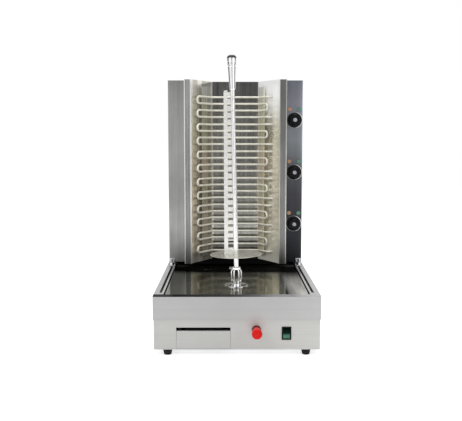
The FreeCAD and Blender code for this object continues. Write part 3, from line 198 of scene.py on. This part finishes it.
def polished(name, tone, rough=0.07, smear=0.05, metallic=1.0):
    """Polished metal with faint wipe marks."""
    look = Look(name)
    look.colour(tone, look.spread(look.noise(scale=55, detail=4, stretch=WIPED), 0.93, 1.05))
    look.set("Metallic", metallic)
    look.set("Roughness", look.spread(look.noise(scale=120, detail=4), rough, rough + smear))
    look.bump(look.noise(scale=25, detail=2), strength=0.03, distance=0.3)
    return look


# Painted shade and reflection on the drip tray: its brightness from front to back and from left to right, and
# how far it is bare metal. Just in front of the heater head, and under it, the tray is painted black as shade
# and reflects nothing.
TRAY_TINT = (1.0, 0.99, 0.93)
TRAY_PAINTED_SHADE_BACKWARDS = [(FRONT + 45, 0.34), (FRONT + 150, 0.30), (FRONT + 235, 0.20), (FRONT + 300, 0.07),
                  (FRONT + 345, 0.004), (FRONT + 425, 0.004), (FRONT + 455, 0.05)]
# Painted reflections across the tray: dark on the left, light streaks towards the right.
TRAY_PAINTED_REFLECTION_ACROSS = [(-190, 0.42), (-158, 0.45), (-140, 0.8), (-90, 0.85), (30, 0.9), (110, 1.7), (138, 1.7),
               (150, 1.1), (190, 1.5)]
TRAY_METAL_BACKWARDS = [(FRONT + 300, 1.0), (FRONT + 370, 0.0)]
TRAY_METAL_ACROSS = [(-190, 1.0), (138, 1.0), (149, 0.3), (190, 0.15)]


def rolled_tray(name):
    """Dark mirror of the drip tray, with wipe marks from front to back, and painted shade and reflections."""
    look = Look(name)
    shade = look.times(look.along(Y, TRAY_PAINTED_SHADE_BACKWARDS), look.along(X, TRAY_PAINTED_REFLECTION_ACROSS))
    look.colour(TRAY_TINT, look.times(shade, look.mottle(0.25, scale=45, detail=4, stretch=WIPED_LONG)))
    look.set("Metallic", look.times(look.along(X, TRAY_METAL_ACROSS), look.along(Y, TRAY_METAL_BACKWARDS)))
    look.set("Roughness", look.spread(look.noise(scale=120, detail=4), 0.08, 0.14))
    look.set("Specular Tint", (0.85, 0.85, 0.80, 1))
    look.set("Specular IOR Level", 0.0)
    return look


HANDLE_CHROME = (0.86, 0.86, 0.87)
CAP_PLASTIC = (0.006, 0.006, 0.007)
CAP_LEVEL = 802.5


def capped_handle(name):
    """Chrome at the end of the handle, and black plastic above its rim."""
    look = Look(name)
    above = look.along(Z, [(CAP_LEVEL - 0.2, 0.0), (CAP_LEVEL + 0.2, 1.0)])
    skin = look.blend(above, HANDLE_CHROME, CAP_PLASTIC)
    look.colour(skin, look.spread(look.noise(scale=60, detail=3), 0.9, 1.08))
    look.set("Metallic", look.blend(above, 1.0, 0.0))
    gloss = look.spread(look.noise(scale=90, detail=3), 0.05, 0.1)
    look.set("Roughness", look.blend(above, gloss, 0.3))
    return look


# Painted light across pieces: painted highlights where folded edges catch the light, and painted light and
# shade across their faces. Each list runs from left to right.
# Painted light: lighter at both sides, most on the right.
SIDE_PAINTED_LIGHT = [(-225, 1.03), (0, 0.98), (225, 1.12)]
POST_LEFT_EDGE_HIGHLIGHTS = [(-164, 2.9), (-161.8, 2.9), (-160.8, 0.9), (-152, 1.0), (-145.6, 0.9), (-144.6, 2.6),
                   (-141, 2.6)]
POST_RIGHT_EDGE_HIGHLIGHTS = [(141, 2.2), (142.6, 2.2), (143.6, 0.9), (154, 0.9), (160.2, 0.95), (161.2, 2.5),
                    (164, 2.5)]
BACK_EDGE_HIGHLIGHTS = [(-76.5, 2.3), (-74.2, 2.3), (-73.2, 0.85), (-55, 0.95), (0, 1.0), (73.2, 1.0), (74.2, 2.0),
              (76.5, 2.0)]
STRIP_PAINTED_HIGHLIGHTS = [(-110, 0.95), (40, 0.95), (50, 2.0), (77, 2.0), (78.5, 1.45), (90.5, 1.45), (92, 2.0),
               (96.5, 2.0)]
PANEL_EDGE_HIGHLIGHT = [(164, 0.9), (172, 1.0), (200, 1.05), (212, 1.3), (215.5, 1.4), (217, 2.4), (218, 2.4)]
# Painted light on the left wing: lit folds at both edges, and a lighter band that paints out the shade behind
# the element support.
WING_LEFT_PAINTED_LIGHT = [(-141, 1.5), (-137, 1.3), (-133, 1.05), (-123, 1.0), (-120, 1.7), (-111, 1.7), (-107, 1.0),
                   (-82, 1.0), (-81, 1.9), (-77, 1.9)]
# Painted light and shade on the right wing: lighter on its inner part, darker towards its outer edge.
WING_RIGHT_PAINTED_LIGHT = [(77, 1.1), (108, 1.1), (118, 0.95), (141, 0.92)]
# Painted shade on the left of the dial rings and a painted highlight on the right.
RING_SHADE = [(165, 0.55), (195, 0.6), (206, 2.2), (218, 2.4)]

APRON_METAL = 0.4
RIM_BACK = FRONT + 24
RIM_FADE = 1.5
# Painted dark reflection and shade along the apron's front rim, from left to right.
RIM_PAINTED_REFLECTION = greys((-215, 0.055), (-185, 0.05), (-165, 0.018), (-100, 0.035), (-20, 0.05), (20, 0.08),
                 (60, 0.14), (95, 0.26), (130, 0.30), (150, 0.29), (175, 0.45), (215, 0.52))


def rimmed_apron(name):
    """Satin sheet with a painted dark reflection and shade along the front of its upper side, darkest on the
    left.
    """
    look = brushed(name, grey(0.46), rough=0.40, metallic=APRON_METAL, grain=GRAIN_ACROSS, depth=0.04,
                   cloud=0.03, painted_light_across=SIDE_PAINTED_LIGHT)
    base = look.shader.inputs["Base Color"].links[0].from_socket
    near = look.along(Y, [(FRONT, 1.0), (RIM_BACK, 1.0), (RIM_BACK + RIM_FADE, 0.0)])
    rim_reflection = look.along(X, RIM_PAINTED_REFLECTION)
    top = look.along(Z, [(161.0, 0.0), (161.5, 1.0)])
    painted_rim_mask = look.times(top, near)
    look.set("Base Color", look.blend(painted_rim_mask, base, rim_reflection))
    look.set("Metallic", look.blend(painted_rim_mask, APRON_METAL, 0.0))
    look.set("Specular IOR Level", 0.0)
    return look


SHEETS = {
    # Painted shade: slightly darker towards the top, under the apron, and painted light towards the sides.
    "body_light": dict(tone=greys((17, 0.49), (80, 0.50), (120, 0.47)), rough=0.42, metallic=0.35,
                       grain=GRAIN_ACROSS, depth=0.04, cloud=0.03, painted_light_across=SIDE_PAINTED_LIGHT),
    # Painted light and shade: the panel's brightness goes up and down its height, darkest at the foot.
    "panel_left": dict(tone=greys((175, 0.24), (216, 0.28), (296, 0.335), (442, 0.29), (603, 0.375),
                                  (729, 0.33), (768, 0.30)), rough=0.33),
    # Painted shade and light: near black at the foot, lightest about two thirds up, with a painted highlight
    # on the right edge.
    "panel_graphite": dict(tone=[(175, (0.010, 0.012, 0.014)), (232, (0.022, 0.026, 0.030)),
                                 (397, (0.051, 0.050, 0.059)), (500, (0.11, 0.115, 0.125)),
                                 (574, (0.23, 0.245, 0.26)), (703, (0.18, 0.18, 0.215)),
                                 (768, (0.125, 0.135, 0.155))],
                           rough=0.36, depth=0.07, metallic=0.7, painted_light_across=PANEL_EDGE_HIGHLIGHT),
    "strip": dict(tone=[(196, (0.38, 0.35, 0.28)), (330, (0.40, 0.36, 0.29)), (410, (0.37, 0.36, 0.27)),
                        (500, (0.42, 0.35, 0.29)), (590, (0.38, 0.38, 0.28)), (690, (0.42, 0.42, 0.33)),
                        (712, (0.44, 0.44, 0.38)), (748, (0.47, 0.47, 0.44))],
                  rough=0.26, metallic=0.5, painted_light_across=STRIP_PAINTED_HIGHLIGHTS),
    # Painted shade and light: darker at the foot, lighter towards the top, with painted edge highlights.
    "post_left": dict(tone=greys((175, 0.18), (235, 0.24), (442, 0.35), (729, 0.45), (768, 0.45)),
                      rough=0.26, painted_light_across=POST_LEFT_EDGE_HIGHLIGHTS),
    # Painted shade and light: darker at the foot and towards the top, lightest in the middle, with painted
    # edge highlights.
    "post_right": dict(tone=greys((175, 0.18), (235, 0.25), (442, 0.29), (729, 0.20), (768, 0.19)),
                       rough=0.26, painted_light_across=POST_RIGHT_EDGE_HIGHLIGHTS),
    "wrapper": dict(tone=(0.33, 0.33, 0.325), rough=0.3, depth=0.07, cloud=0.06),
    "top_sheet": dict(tone=(0.36, 0.36, 0.35), rough=0.5, metallic=0.4, grain=GRAIN_ACROSS, depth=0.06,
                      cloud=0.06),
    "rail": dict(tone=(0.42, 0.42, 0.41), rough=0.28, grain=GRAIN_BACK),
    # Painted reflection and shade: lighter in the middle among the elements, darker at the foot and above the
    # elements at the top.
    "reflector_back": dict(tone=greys((175, 0.30), (300, 0.38), (450, 0.46), (600, 0.46), (690, 0.34),
                                      tint=OLIVE) + greys((715, 0.25), (768, 0.24)),
                           rough=0.18, painted_light_across=BACK_EDGE_HIGHLIGHTS),
    # Painted reflection and light: lightest at the foot, darker in the middle, lighter again at the top.
    "wing_left": dict(tone=[(175, (0.74, 0.68, 0.57)), (300, (0.54, 0.49, 0.41)), (442, (0.52, 0.47, 0.39)),
                            (600, (0.52, 0.50, 0.42)), (768, (0.60, 0.58, 0.53))],
                      rough=0.13, metallic=0.7, depth=0.12, cloud=0.16, painted_light_across=WING_LEFT_PAINTED_LIGHT),
    # Painted light: near white at the foot and over the top, where the metal is made less metallic so that
    # the lamps light it as a pool of light.
    "wing_right": dict(tone=[(175, (0.98, 0.95, 0.82)), (300, (0.92, 0.89, 0.78)), (450, (0.86, 0.83, 0.73)),
                             (620, (0.76, 0.74, 0.66)), (690, (1.0, 1.0, 0.99)), (768, (1.0, 1.0, 0.99))],
                       rough=0.12, metallic=[(175, 0.25), (300, 0.7), (600, 0.8), (690, 0.2), (768, 0.05)],
                       painted_light_across=WING_RIGHT_PAINTED_LIGHT),
    "knob_cap": dict(tone=(0.36, 0.36, 0.40), rough=0.3, metallic=0.5, grain=GRAIN_NONE, depth=0.06),
    "dial_ring": dict(tone=(0.40, 0.40, 0.41), rough=0.16, grain=GRAIN_NONE, depth=0.05, painted_light_across=RING_SHADE),
    "zinc": dict(tone=(0.50, 0.51, 0.52), rough=0.4, grain=GRAIN_SHORT, depth=0.15, cloud=0.2),
}
POLISHED = {
    "chrome": dict(tone=(0.86, 0.86, 0.87), rough=0.06),
    "chrome_soft": dict(tone=(0.60, 0.60, 0.61), rough=0.14),
    "spit": dict(tone=(0.84, 0.84, 0.83), rough=0.16, smear=0.08, metallic=0.8),
    "blade": dict(tone=(0.94, 0.93, 0.89), rough=0.22, smear=0.08, metallic=0.35),
    "disc": dict(tone=(0.62, 0.61, 0.54), rough=0.18, metallic=0.6),
}
MOULDED = {
    "element": dict(tone=(0.78, 0.76, 0.67), rough=0.4, metallic=0.15, depth=0.12, bump=0.15, size=500),
    "black_sheet": dict(tone=(0.004, 0.004, 0.004), rough=0.5, depth=0.3, size=1400, shine=0.0),
    "rubber": dict(tone=(0.008, 0.008, 0.008), rough=0.65, depth=0.3, bump=0.4, size=700, shine=0.2),
    "black_plastic": dict(tone=(0.004, 0.004, 0.005), rough=0.25, depth=0.25, shine=0.14),
    "red": dict(tone=(0.72, 0.012, 0.008), rough=0.25, depth=0.1, bump=0.05, shine=0.12),
    # Painted shade: the collar is a darkened copy of the button's red.
    "collar": dict(tone=(0.10, 0.008, 0.008), rough=0.35, depth=0.2, bump=0.1, shine=0.25),
    # Painted light and shade on the rocker: a painted highlight band low down, and the upper half painted
    # near black as shade.
    "green": dict(tone=[(44, (0.03, 0.10, 0.06)), (54, (0.10, 0.26, 0.18)), (58, (0.06, 0.16, 0.11)),
                        (61.5, (0.006, 0.02, 0.012)), (78, (0.0005, 0.001, 0.0007))],
                  rough=0.3, depth=0.15, bump=0.04, shine=0.0),
    "lamp_amber": dict(tone=(0.50, 0.26, 0.15), rough=0.15, depth=0.25, bump=0.05, coat=0.5),
    "lamp_green": dict(tone=(0.06, 0.24, 0.16), rough=0.12, depth=0.25, bump=0.05, coat=0.8),
    "cast": dict(tone=(0.34, 0.34, 0.34), rough=0.5, metallic=0.8, depth=0.15, bump=0.5, size=500),
    "bronze": dict(tone=(0.45, 0.28, 0.10), rough=0.4, metallic=0.9, depth=0.15, bump=0.2),
    "board": dict(tone=(0.60, 0.57, 0.48), rough=0.9, depth=0.2, bump=0.8, size=350),
}
LOOKS = {"apron_light": rimmed_apron("apron_light"), "tray": rolled_tray("tray"), "cap": capped_handle("cap")}
for finish, table in ((brushed, SHEETS), (polished, POLISHED), (moulded, MOULDED)):
    for name, settings in table.items():
        LOOKS[name] = finish(name, **settings)

ELEMENTS = [f"heating_element_{number}" for number in range(1, 7)]
KNOBS = ["knob_1", "knob_2", "knob_3"]
LOOK_NODES = {
    "body_light": ["base_housing", "grease_drawer"],
    "apron_light": ["apron"],
    "zinc": ["floor_plate", "foot_screws", "cross_members", "drawer_runners", "motor_bracket"],
    "rubber": ["rubber_feet"],
    "rail": ["groove_rail_left", "groove_rail_right"],
    "tray": ["drip_tray"],
    "cast": ["gear_motor"],
    "bronze": ["shaft_bearing"],
    "chrome": ["shaft_seal", "drive_coupling", "thumb_screw", "spit_handle"],
    "chrome_soft": ["clamp_brackets", "clamp_screws"],
    "spit": ["drive_shaft", "spit_rod", "disc_hub"],
    "blade": ["spit_blade"],
    "disc": ["meat_disc"],
    "cap": ["handle_cap"],
    "black_sheet": ["head_floor"],
    "top_sheet": ["head_top"],
    "wrapper": ["head_wrapper", "rear_cover"],
    "panel_left": ["left_front_panel"],
    "panel_graphite": ["control_panel"],
    "post_left": ["left_post"],
    "post_right": ["right_post"],
    "reflector_back": ["reflector_back"],
    "wing_left": ["reflector_wing_left"],
    "wing_right": ["reflector_wing_right"],
    "board": ["insulation_board"],
    "strip": ["element_supports"],
    "element": ELEMENTS,
    "black_plastic": ["slide_shoes", *KNOBS, "energy_regulators", "rocker_frame", "cable_gland"],
    "dial_ring": ["dial_rings"],
    "lamp_amber": ["amber_lamps"],
    "lamp_green": ["green_lamps"],
    "red": ["stop_button"],
    "collar": ["stop_collar"],
    "green": ["rocker"],
}

# ---------------------------------------------------------------- shading of carried-over nodes

# Angles are in degrees.
SHARP_ANGLE = 32  # edges sharper than this stay crisp in shading
ROUNDED_ANGLE = 40  # edges sharper than this are rounded
FLAT_ANGLE = 0.4  # facets within this angle are one face
SAME_POINT = 1e-5  # metres within which points are one
FLAT_FACES_FIRST = 90  # weight of the large faces in the shading normals


def smoothing_group():
    """Shades smooth everywhere except over sharp edges."""
    group = bpy.data.node_groups.new("shade_by_angle", "GeometryNodeTree")
    group.interface.new_socket("Geometry", in_out="INPUT", socket_type="NodeSocketGeometry")
    group.interface.new_socket("Geometry", in_out="OUTPUT", socket_type="NodeSocketGeometry")
    entry = group.nodes.new("NodeGroupInput")
    leave = group.nodes.new("NodeGroupOutput")
    angle = group.nodes.new("GeometryNodeInputMeshEdgeAngle")
    sharp = group.nodes.new("FunctionNodeCompare")
    sharp.data_type = "FLOAT"
    sharp.operation = "GREATER_THAN"
    sharp.inputs[1].default_value = math.radians(SHARP_ANGLE)
    faces = group.nodes.new("GeometryNodeSetShadeSmooth")
    faces.domain = "FACE"
    edges = group.nodes.new("GeometryNodeSetShadeSmooth")
    edges.domain = "EDGE"
    edges.inputs["Shade Smooth"].default_value = False
    group.links.new(entry.outputs[0], faces.inputs["Geometry"])
    group.links.new(faces.outputs[0], edges.inputs["Geometry"])
    group.links.new(angle.outputs["Unsigned Angle"], sharp.inputs[0])
    group.links.new(sharp.outputs["Result"], edges.inputs["Selection"])
    group.links.new(edges.outputs[0], leave.inputs[0])
    return group


SMOOTHING = smoothing_group()


def soften(item, rounding):
    """Joins the facets of flat faces, rounds the sharp edges and keeps the flat faces flat in shading."""
    weld = item.modifiers.new("weld", "WELD")
    weld.merge_threshold = SAME_POINT
    flat = item.modifiers.new("flat", "DECIMATE")
    flat.decimate_type = "DISSOLVE"
    flat.angle_limit = math.radians(FLAT_ANGLE)
    if rounding:
        bevel = item.modifiers.new("edges", "BEVEL")
        bevel.width = mm(rounding)
        bevel.segments = 2
        bevel.limit_method = "ANGLE"
        bevel.angle_limit = math.radians(ROUNDED_ANGLE)
    shade = item.modifiers.new("shade", "NODES")
    shade.node_group = SMOOTHING
    weigh = item.modifiers.new("weigh", "WEIGHTED_NORMAL")
    weigh.keep_sharp = True
    weigh.weight = FLAT_FACES_FIRST


COMMON_ROUNDING = 0.3
ROUNDING = {"rear_cover": 0, "control_panel": 0, "insulation_board": 0, **dict.fromkeys(ELEMENTS, 0),
            "stop_button": 2.4, "amber_lamps": 1.0, "green_lamps": 1.0, "rubber_feet": 1.4, "rocker": 1.0,
            "rocker_frame": 0.8, **dict.fromkeys(KNOBS, 0.8), "left_post": 0.8, "right_post": 0.8,
            "clamp_screws": 0.5, "stop_collar": 0.8}
for look, names in LOOK_NODES.items():
    for name in names:
        node = nodes[name]
        node.data.materials.clear()
        node.data.materials.append(LOOKS[look].material)
        soften(node, ROUNDING.get(name, COMMON_ROUNDING))

# ---------------------------------------------------------------- new pieces

ON_AXIS = 0.01  # radius under which a ring of points is a single point
TOWARDS_FRONT = Matrix.Rotation(math.radians(90), 4, "X")  # turns an upright axis to point at the viewer
TOWARDS_BACK = Matrix.Rotation(math.radians(-90), 4, "X")

SPINDLE_AXIS = Matrix.Translation(mm(0, SPIT_Y, 0))
FOOT_LOW, FOOT_HIGH = 169.2, 177.9
SHAFT_BORE = 6.06
FOOT_PROFILE = [(SHAFT_BORE, FOOT_LOW), (13.6, FOOT_LOW), (14.7, FOOT_LOW + 1.1), (14.7, FOOT_HIGH - 1.3),
                (13.9, FOOT_HIGH - 0.3), (9.6, FOOT_HIGH), (SHAFT_BORE, FOOT_HIGH)]
COLLAR_LOW, COLLAR_HIGH = 208.6, 215.7
SPIT_BORE, BORE_FLOOR = 6.6, 208.1
COLLAR_PROFILE = [(0, COLLAR_LOW - 2.2), (9.6, COLLAR_LOW - 1.6), (11.4, COLLAR_LOW - 0.2),
                  (12.15, COLLAR_LOW + 0.9), (12.15, COLLAR_HIGH - 0.9), (11.3, COLLAR_HIGH),
                  (SPIT_BORE, COLLAR_HIGH), (SPIT_BORE, BORE_FLOOR), (0, BORE_FLOOR)]
BAR_LINE = [(12.6, FOOT_HIGH - 1.5), (13.9, 182.6), (13.9, 202.6), (10.2, COLLAR_LOW + 1.2)]
BAR_BEND = 3.5
BAR_RADIUS = 2.05
BAR_COUNT = 6

KNOB_X = 191.5
KNOB_FACE_Y = FRONT + 430.9
KNOB_LEVELS = {"knob_high": 640.2, "knob_middle": 471.5, "knob_low": 302.8}
DOME_PROFILE = [(0, 0), (6.1, 0), (6.1, 0.5), (5.7, 0.9), (4.6, 1.25), (2.6, 1.5), (0, 1.6)]

COVER_Y = FRONT + 568.2
SCREW_PLACES = [(-172, 233), (-172, 471), (-172, 710), (0, 233), (0, 710), (172, 233), (172, 471), (172, 710)]
SCREW_PROFILE = [(0, 0), (4.2, 0), (4.2, 0.6), (3.6, 1.5), (2.2, 2.0), (1.5, 2.05), (1.4, 0.9), (0, 0.9)]


def to_object(name, shape, look):
    """Turns a finished shape into an object of one material."""
    mesh = bpy.data.meshes.new(name)
    shape.to_mesh(mesh)
    shape.free()
    mesh.materials.append(look.material)
    item = bpy.data.objects.new(name, mesh)
    bpy.context.collection.objects.link(item)
    return item


def add_piece(name, shape, look, body):
    bmesh.ops.recalc_face_normals(shape, faces=shape.faces)
    piece = to_object(name, shape, LOOKS[look])
    soften(piece, 0)
    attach(piece, body)
    return piece


def lathe(shape, profile, turn, segments):
    """Closed solid of revolution. Its profile of (radius, height) pairs starts and ends on the axis, or is a
    loop beside it, and turn places it."""
    rings = []
    for radius, height in profile:
        if radius < ON_AXIS:
            rings.append([shape.verts.new(turn @ mm(0, 0, height))] * segments)
            continue
        angles = [2 * math.pi * step / segments for step in range(segments)]
        rings.append([shape.verts.new(turn @ mm(radius * math.cos(angle), radius * math.sin(angle), height))
                      for angle in angles])
    starts_on_axis = profile[0][0] < ON_AXIS
    pairs = list(zip(rings, rings[1:])) + ([] if starts_on_axis else [(rings[-1], rings[0])])
    for lower, upper in pairs:
        for step in range(segments):
            after = (step + 1) % segments
            corners = []
            for corner in (lower[step], lower[after], upper[after], upper[step]):
                if corner not in corners:
                    corners.append(corner)
            if len(corners) > 2:
                shape.faces.new(corners)


def rounded(points, reach):
    """Line of points with a short curve put in place of each inner corner."""
    steps = 6
    most = 0.48  # of the length of a straight run
    result = [Vector(points[0])]
    for before, corner, after in zip(points, points[1:], points[2:]):
        at = Vector(corner)
        into, onto = Vector(before) - at, Vector(after) - at
        size = min(reach, into.length * most, onto.length * most)
        first, last = at + into.normalized() * size, at + onto.normalized() * size
        for step in range(steps + 1):
            part = step / steps
            result.append(first.lerp(at, part).lerp(at.lerp(last, part), part))
    result.append(Vector(points[-1]))
    return result


def bent_bar(shape, points, radius, turn):
    """Round bar bent in the plane of radius and height, closed at both ends."""
    sides = 16
    rings = []
    for index, place in enumerate(points):
        before, after = points[max(index - 1, 0)], points[min(index + 1, len(points) - 1)]
        run = (after - before).normalized()
        ring = []
        for step in range(sides):
            angle = 2 * math.pi * step / sides
            out, across = radius * math.cos(angle), radius * math.sin(angle)
            ring.append(shape.verts.new(turn @ mm(place.x + run.y * out, across, place.y - run.x * out)))
        rings.append(ring)
    for lower, upper in zip(rings, rings[1:]):
        for step in range(sides):
            after = (step + 1) % sides
            shape.faces.new((lower[step], lower[after], upper[after], upper[step]))
    shape.faces.new(rings[0])
    shape.faces.new(rings[-1])


def coupling_cage():
    """Foot ring, round bars that bulge outwards, and the collar that takes the spit."""
    shape = bmesh.new()
    lathe(shape, FOOT_PROFILE, SPINDLE_AXIS, segments=64)
    lathe(shape, COLLAR_PROFILE, SPINDLE_AXIS, segments=64)
    line = rounded(BAR_LINE, BAR_BEND)
    for count in range(BAR_COUNT):
        around = Matrix.Rotation(math.radians(360 / BAR_COUNT * count), 4, "Z")
        bent_bar(shape, line, BAR_RADIUS, SPINDLE_AXIS @ around)
    cage = add_piece("coupling_cage", shape, "chrome", "spindle")
    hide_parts("drive_coupling")


def knob_cap(number, body, level):
    """Low domed metal cap in the middle of a control knob."""
    shape = bmesh.new()
    place = Matrix.Translation(mm(KNOB_X, KNOB_FACE_Y, level))
    lathe(shape, DOME_PROFILE, place @ TOWARDS_FRONT, segments=48)
    add_piece(f"knob_cap_{number}", shape, "knob_cap", body)


def cover_screws():
    """Pan-head screws with a driver socket, round the edge of the rear cover."""
    shape = bmesh.new()
    for x, z in SCREW_PLACES:
        lathe(shape, SCREW_PROFILE, Matrix.Translation(mm(x, COVER_Y, z)) @ TOWARDS_BACK, segments=24)
    add_piece("cover_screws", shape, "zinc", "head")


coupling_cage()
cover_screws()
for number, (body, level) in enumerate(KNOB_LEVELS.items(), 1):
    knob_cap(number, body, level)

# ---------------------------------------------------------------- stage, light, camera

FLOOR_HALF = 6
CARD_DISTANCE, CARD_TOP, CARD_COLUMNS = 2.6, 2.6, 8
FOCAL_LENGTH, PHOTO_WIDTH = 700, 462  # pixels
SENSOR_WIDTH = 36  # millimetres
CAMERA_PLACE = mm(-22.2, FRONT - 1830, 580)
CAMERA_DIP, CAMERA_TURN = 5.85, -0.2  # degrees below the horizontal, and about the vertical


def seen_directly(tree):
    """1 for camera, glossy and transmission rays, which see the backdrop, and 0 for the light it sheds."""
    path = tree.nodes.new("ShaderNodeLightPath")
    first = tree.nodes.new("ShaderNodeMath")
    second = tree.nodes.new("ShaderNodeMath")
    for made in (first, second):
        made.operation = "MAXIMUM"
    tree.links.new(path.outputs["Is Camera Ray"], first.inputs[0])
    tree.links.new(path.outputs["Is Glossy Ray"], first.inputs[1])
    tree.links.new(first.outputs[0], second.inputs[0])
    tree.links.new(path.outputs["Is Transmission Ray"], second.inputs[1])
    return second.outputs[0]


def white_room(ambient):
    """White backdrop for the eye, for metal and for glass; a softer even light for everything else."""
    world = bpy.data.worlds.new("studio")
    bpy.context.scene.world = world
    world.use_nodes = True
    tree = world.node_tree
    tree.nodes.clear()
    output = tree.nodes.new("ShaderNodeOutputWorld")
    choose = tree.nodes.new("ShaderNodeMixShader")
    tree.links.new(seen_directly(tree), choose.inputs[0])
    for side, strength in ((1, ambient), (2, 1.0)):
        glow = tree.nodes.new("ShaderNodeBackground")
        glow.inputs["Color"].default_value = WHITE
        glow.inputs["Strength"].default_value = strength
        tree.links.new(glow.outputs[0], choose.inputs[side])
    tree.links.new(choose.outputs[0], output.inputs[0])


def pale_floor(glow):
    """Plain floor that keeps the object's shadow. Its own glow shows to the eye and in metal only."""
    shape = bmesh.new()
    bmesh.ops.create_grid(shape, x_segments=8, y_segments=8, size=FLOOR_HALF)
    look = Look("floor")
    look.colour((0.92, 0.92, 0.92), look.mottle(0.01, scale=3, detail=3))
    look.set("Roughness", 0.9)
    look.set("Emission Color", WHITE)
    look.set("Emission Strength", look.times(seen_directly(look.tree), glow))
    floor = to_object("floor", shape, look)


def card(name, azimuth, span, low, tone):
    """Upright studio card that only metal sees. Azimuth 0 is straight in front, positive to the right."""
    shape = bmesh.new()
    columns = []
    for step in range(CARD_COLUMNS + 1):
        angle = math.radians(azimuth - span / 2 + span * step / CARD_COLUMNS)
        x, y = CARD_DISTANCE * math.sin(angle), -CARD_DISTANCE * math.cos(angle)
        columns.append([shape.verts.new((x, y, z)) for z in (low, CARD_TOP)])
    for before, after in zip(columns, columns[1:]):
        shape.faces.new((before[0], after[0], after[1], before[1]))
    look = Look(name)
    look.set("Base Color", BLACK)
    look.set("Specular IOR Level", 0.0)
    look.set("Emission Color", (tone, tone, tone, 1))
    look.set("Emission Strength", 1.0)
    item = to_object(name, shape, look)
    item.visible_camera = False
    item.visible_diffuse = False
    item.visible_shadow = False


def softbox(name, place, aim, width, height, power):
    light = bpy.data.lights.new(name, "AREA")
    light.shape = "RECTANGLE"
    light.size = width
    light.size_y = height
    light.energy = power
    item = bpy.data.objects.new(name, light)
    item.location = place
    item.rotation_euler = (Vector(aim) - Vector(place)).to_track_quat("-Z", "Y").to_euler()
    bpy.context.collection.objects.link(item)


white_room(ambient=0.5)
pale_floor(glow=0.55)
card("card_front", azimuth=0, span=14, low=-0.2, tone=0.12)
card("card_left", azimuth=-100, span=50, low=0, tone=0.15)
card("card_right", azimuth=82, span=40, low=0, tone=0.03)
softbox("key", place=(-2.2, -2.6, 2.4), aim=(0, 0, 0.35), width=2.0, height=2.0, power=38)
softbox("fill", place=(2.6, -1.8, 1.5), aim=(0, 0, 0.3), width=1.6, height=2.2, power=16)
softbox("top", place=(0, 0.1, 3.0), aim=(0, 0, 0), width=2.6, height=2.6, power=34)

camera_data = bpy.data.cameras.new("camera")
camera_data.sensor_width = SENSOR_WIDTH
camera_data.sensor_fit = "HORIZONTAL"
camera_data.lens = FOCAL_LENGTH * SENSOR_WIDTH / PHOTO_WIDTH
camera = bpy.data.objects.new("camera", camera_data)
camera.location = CAMERA_PLACE
camera.rotation_euler = (math.radians(90 - CAMERA_DIP), 0, math.radians(CAMERA_TURN))
bpy.context.collection.objects.link(camera)
bpy.context.scene.camera = camera
bpy.context.scene.view_settings.view_transform = "Standard"
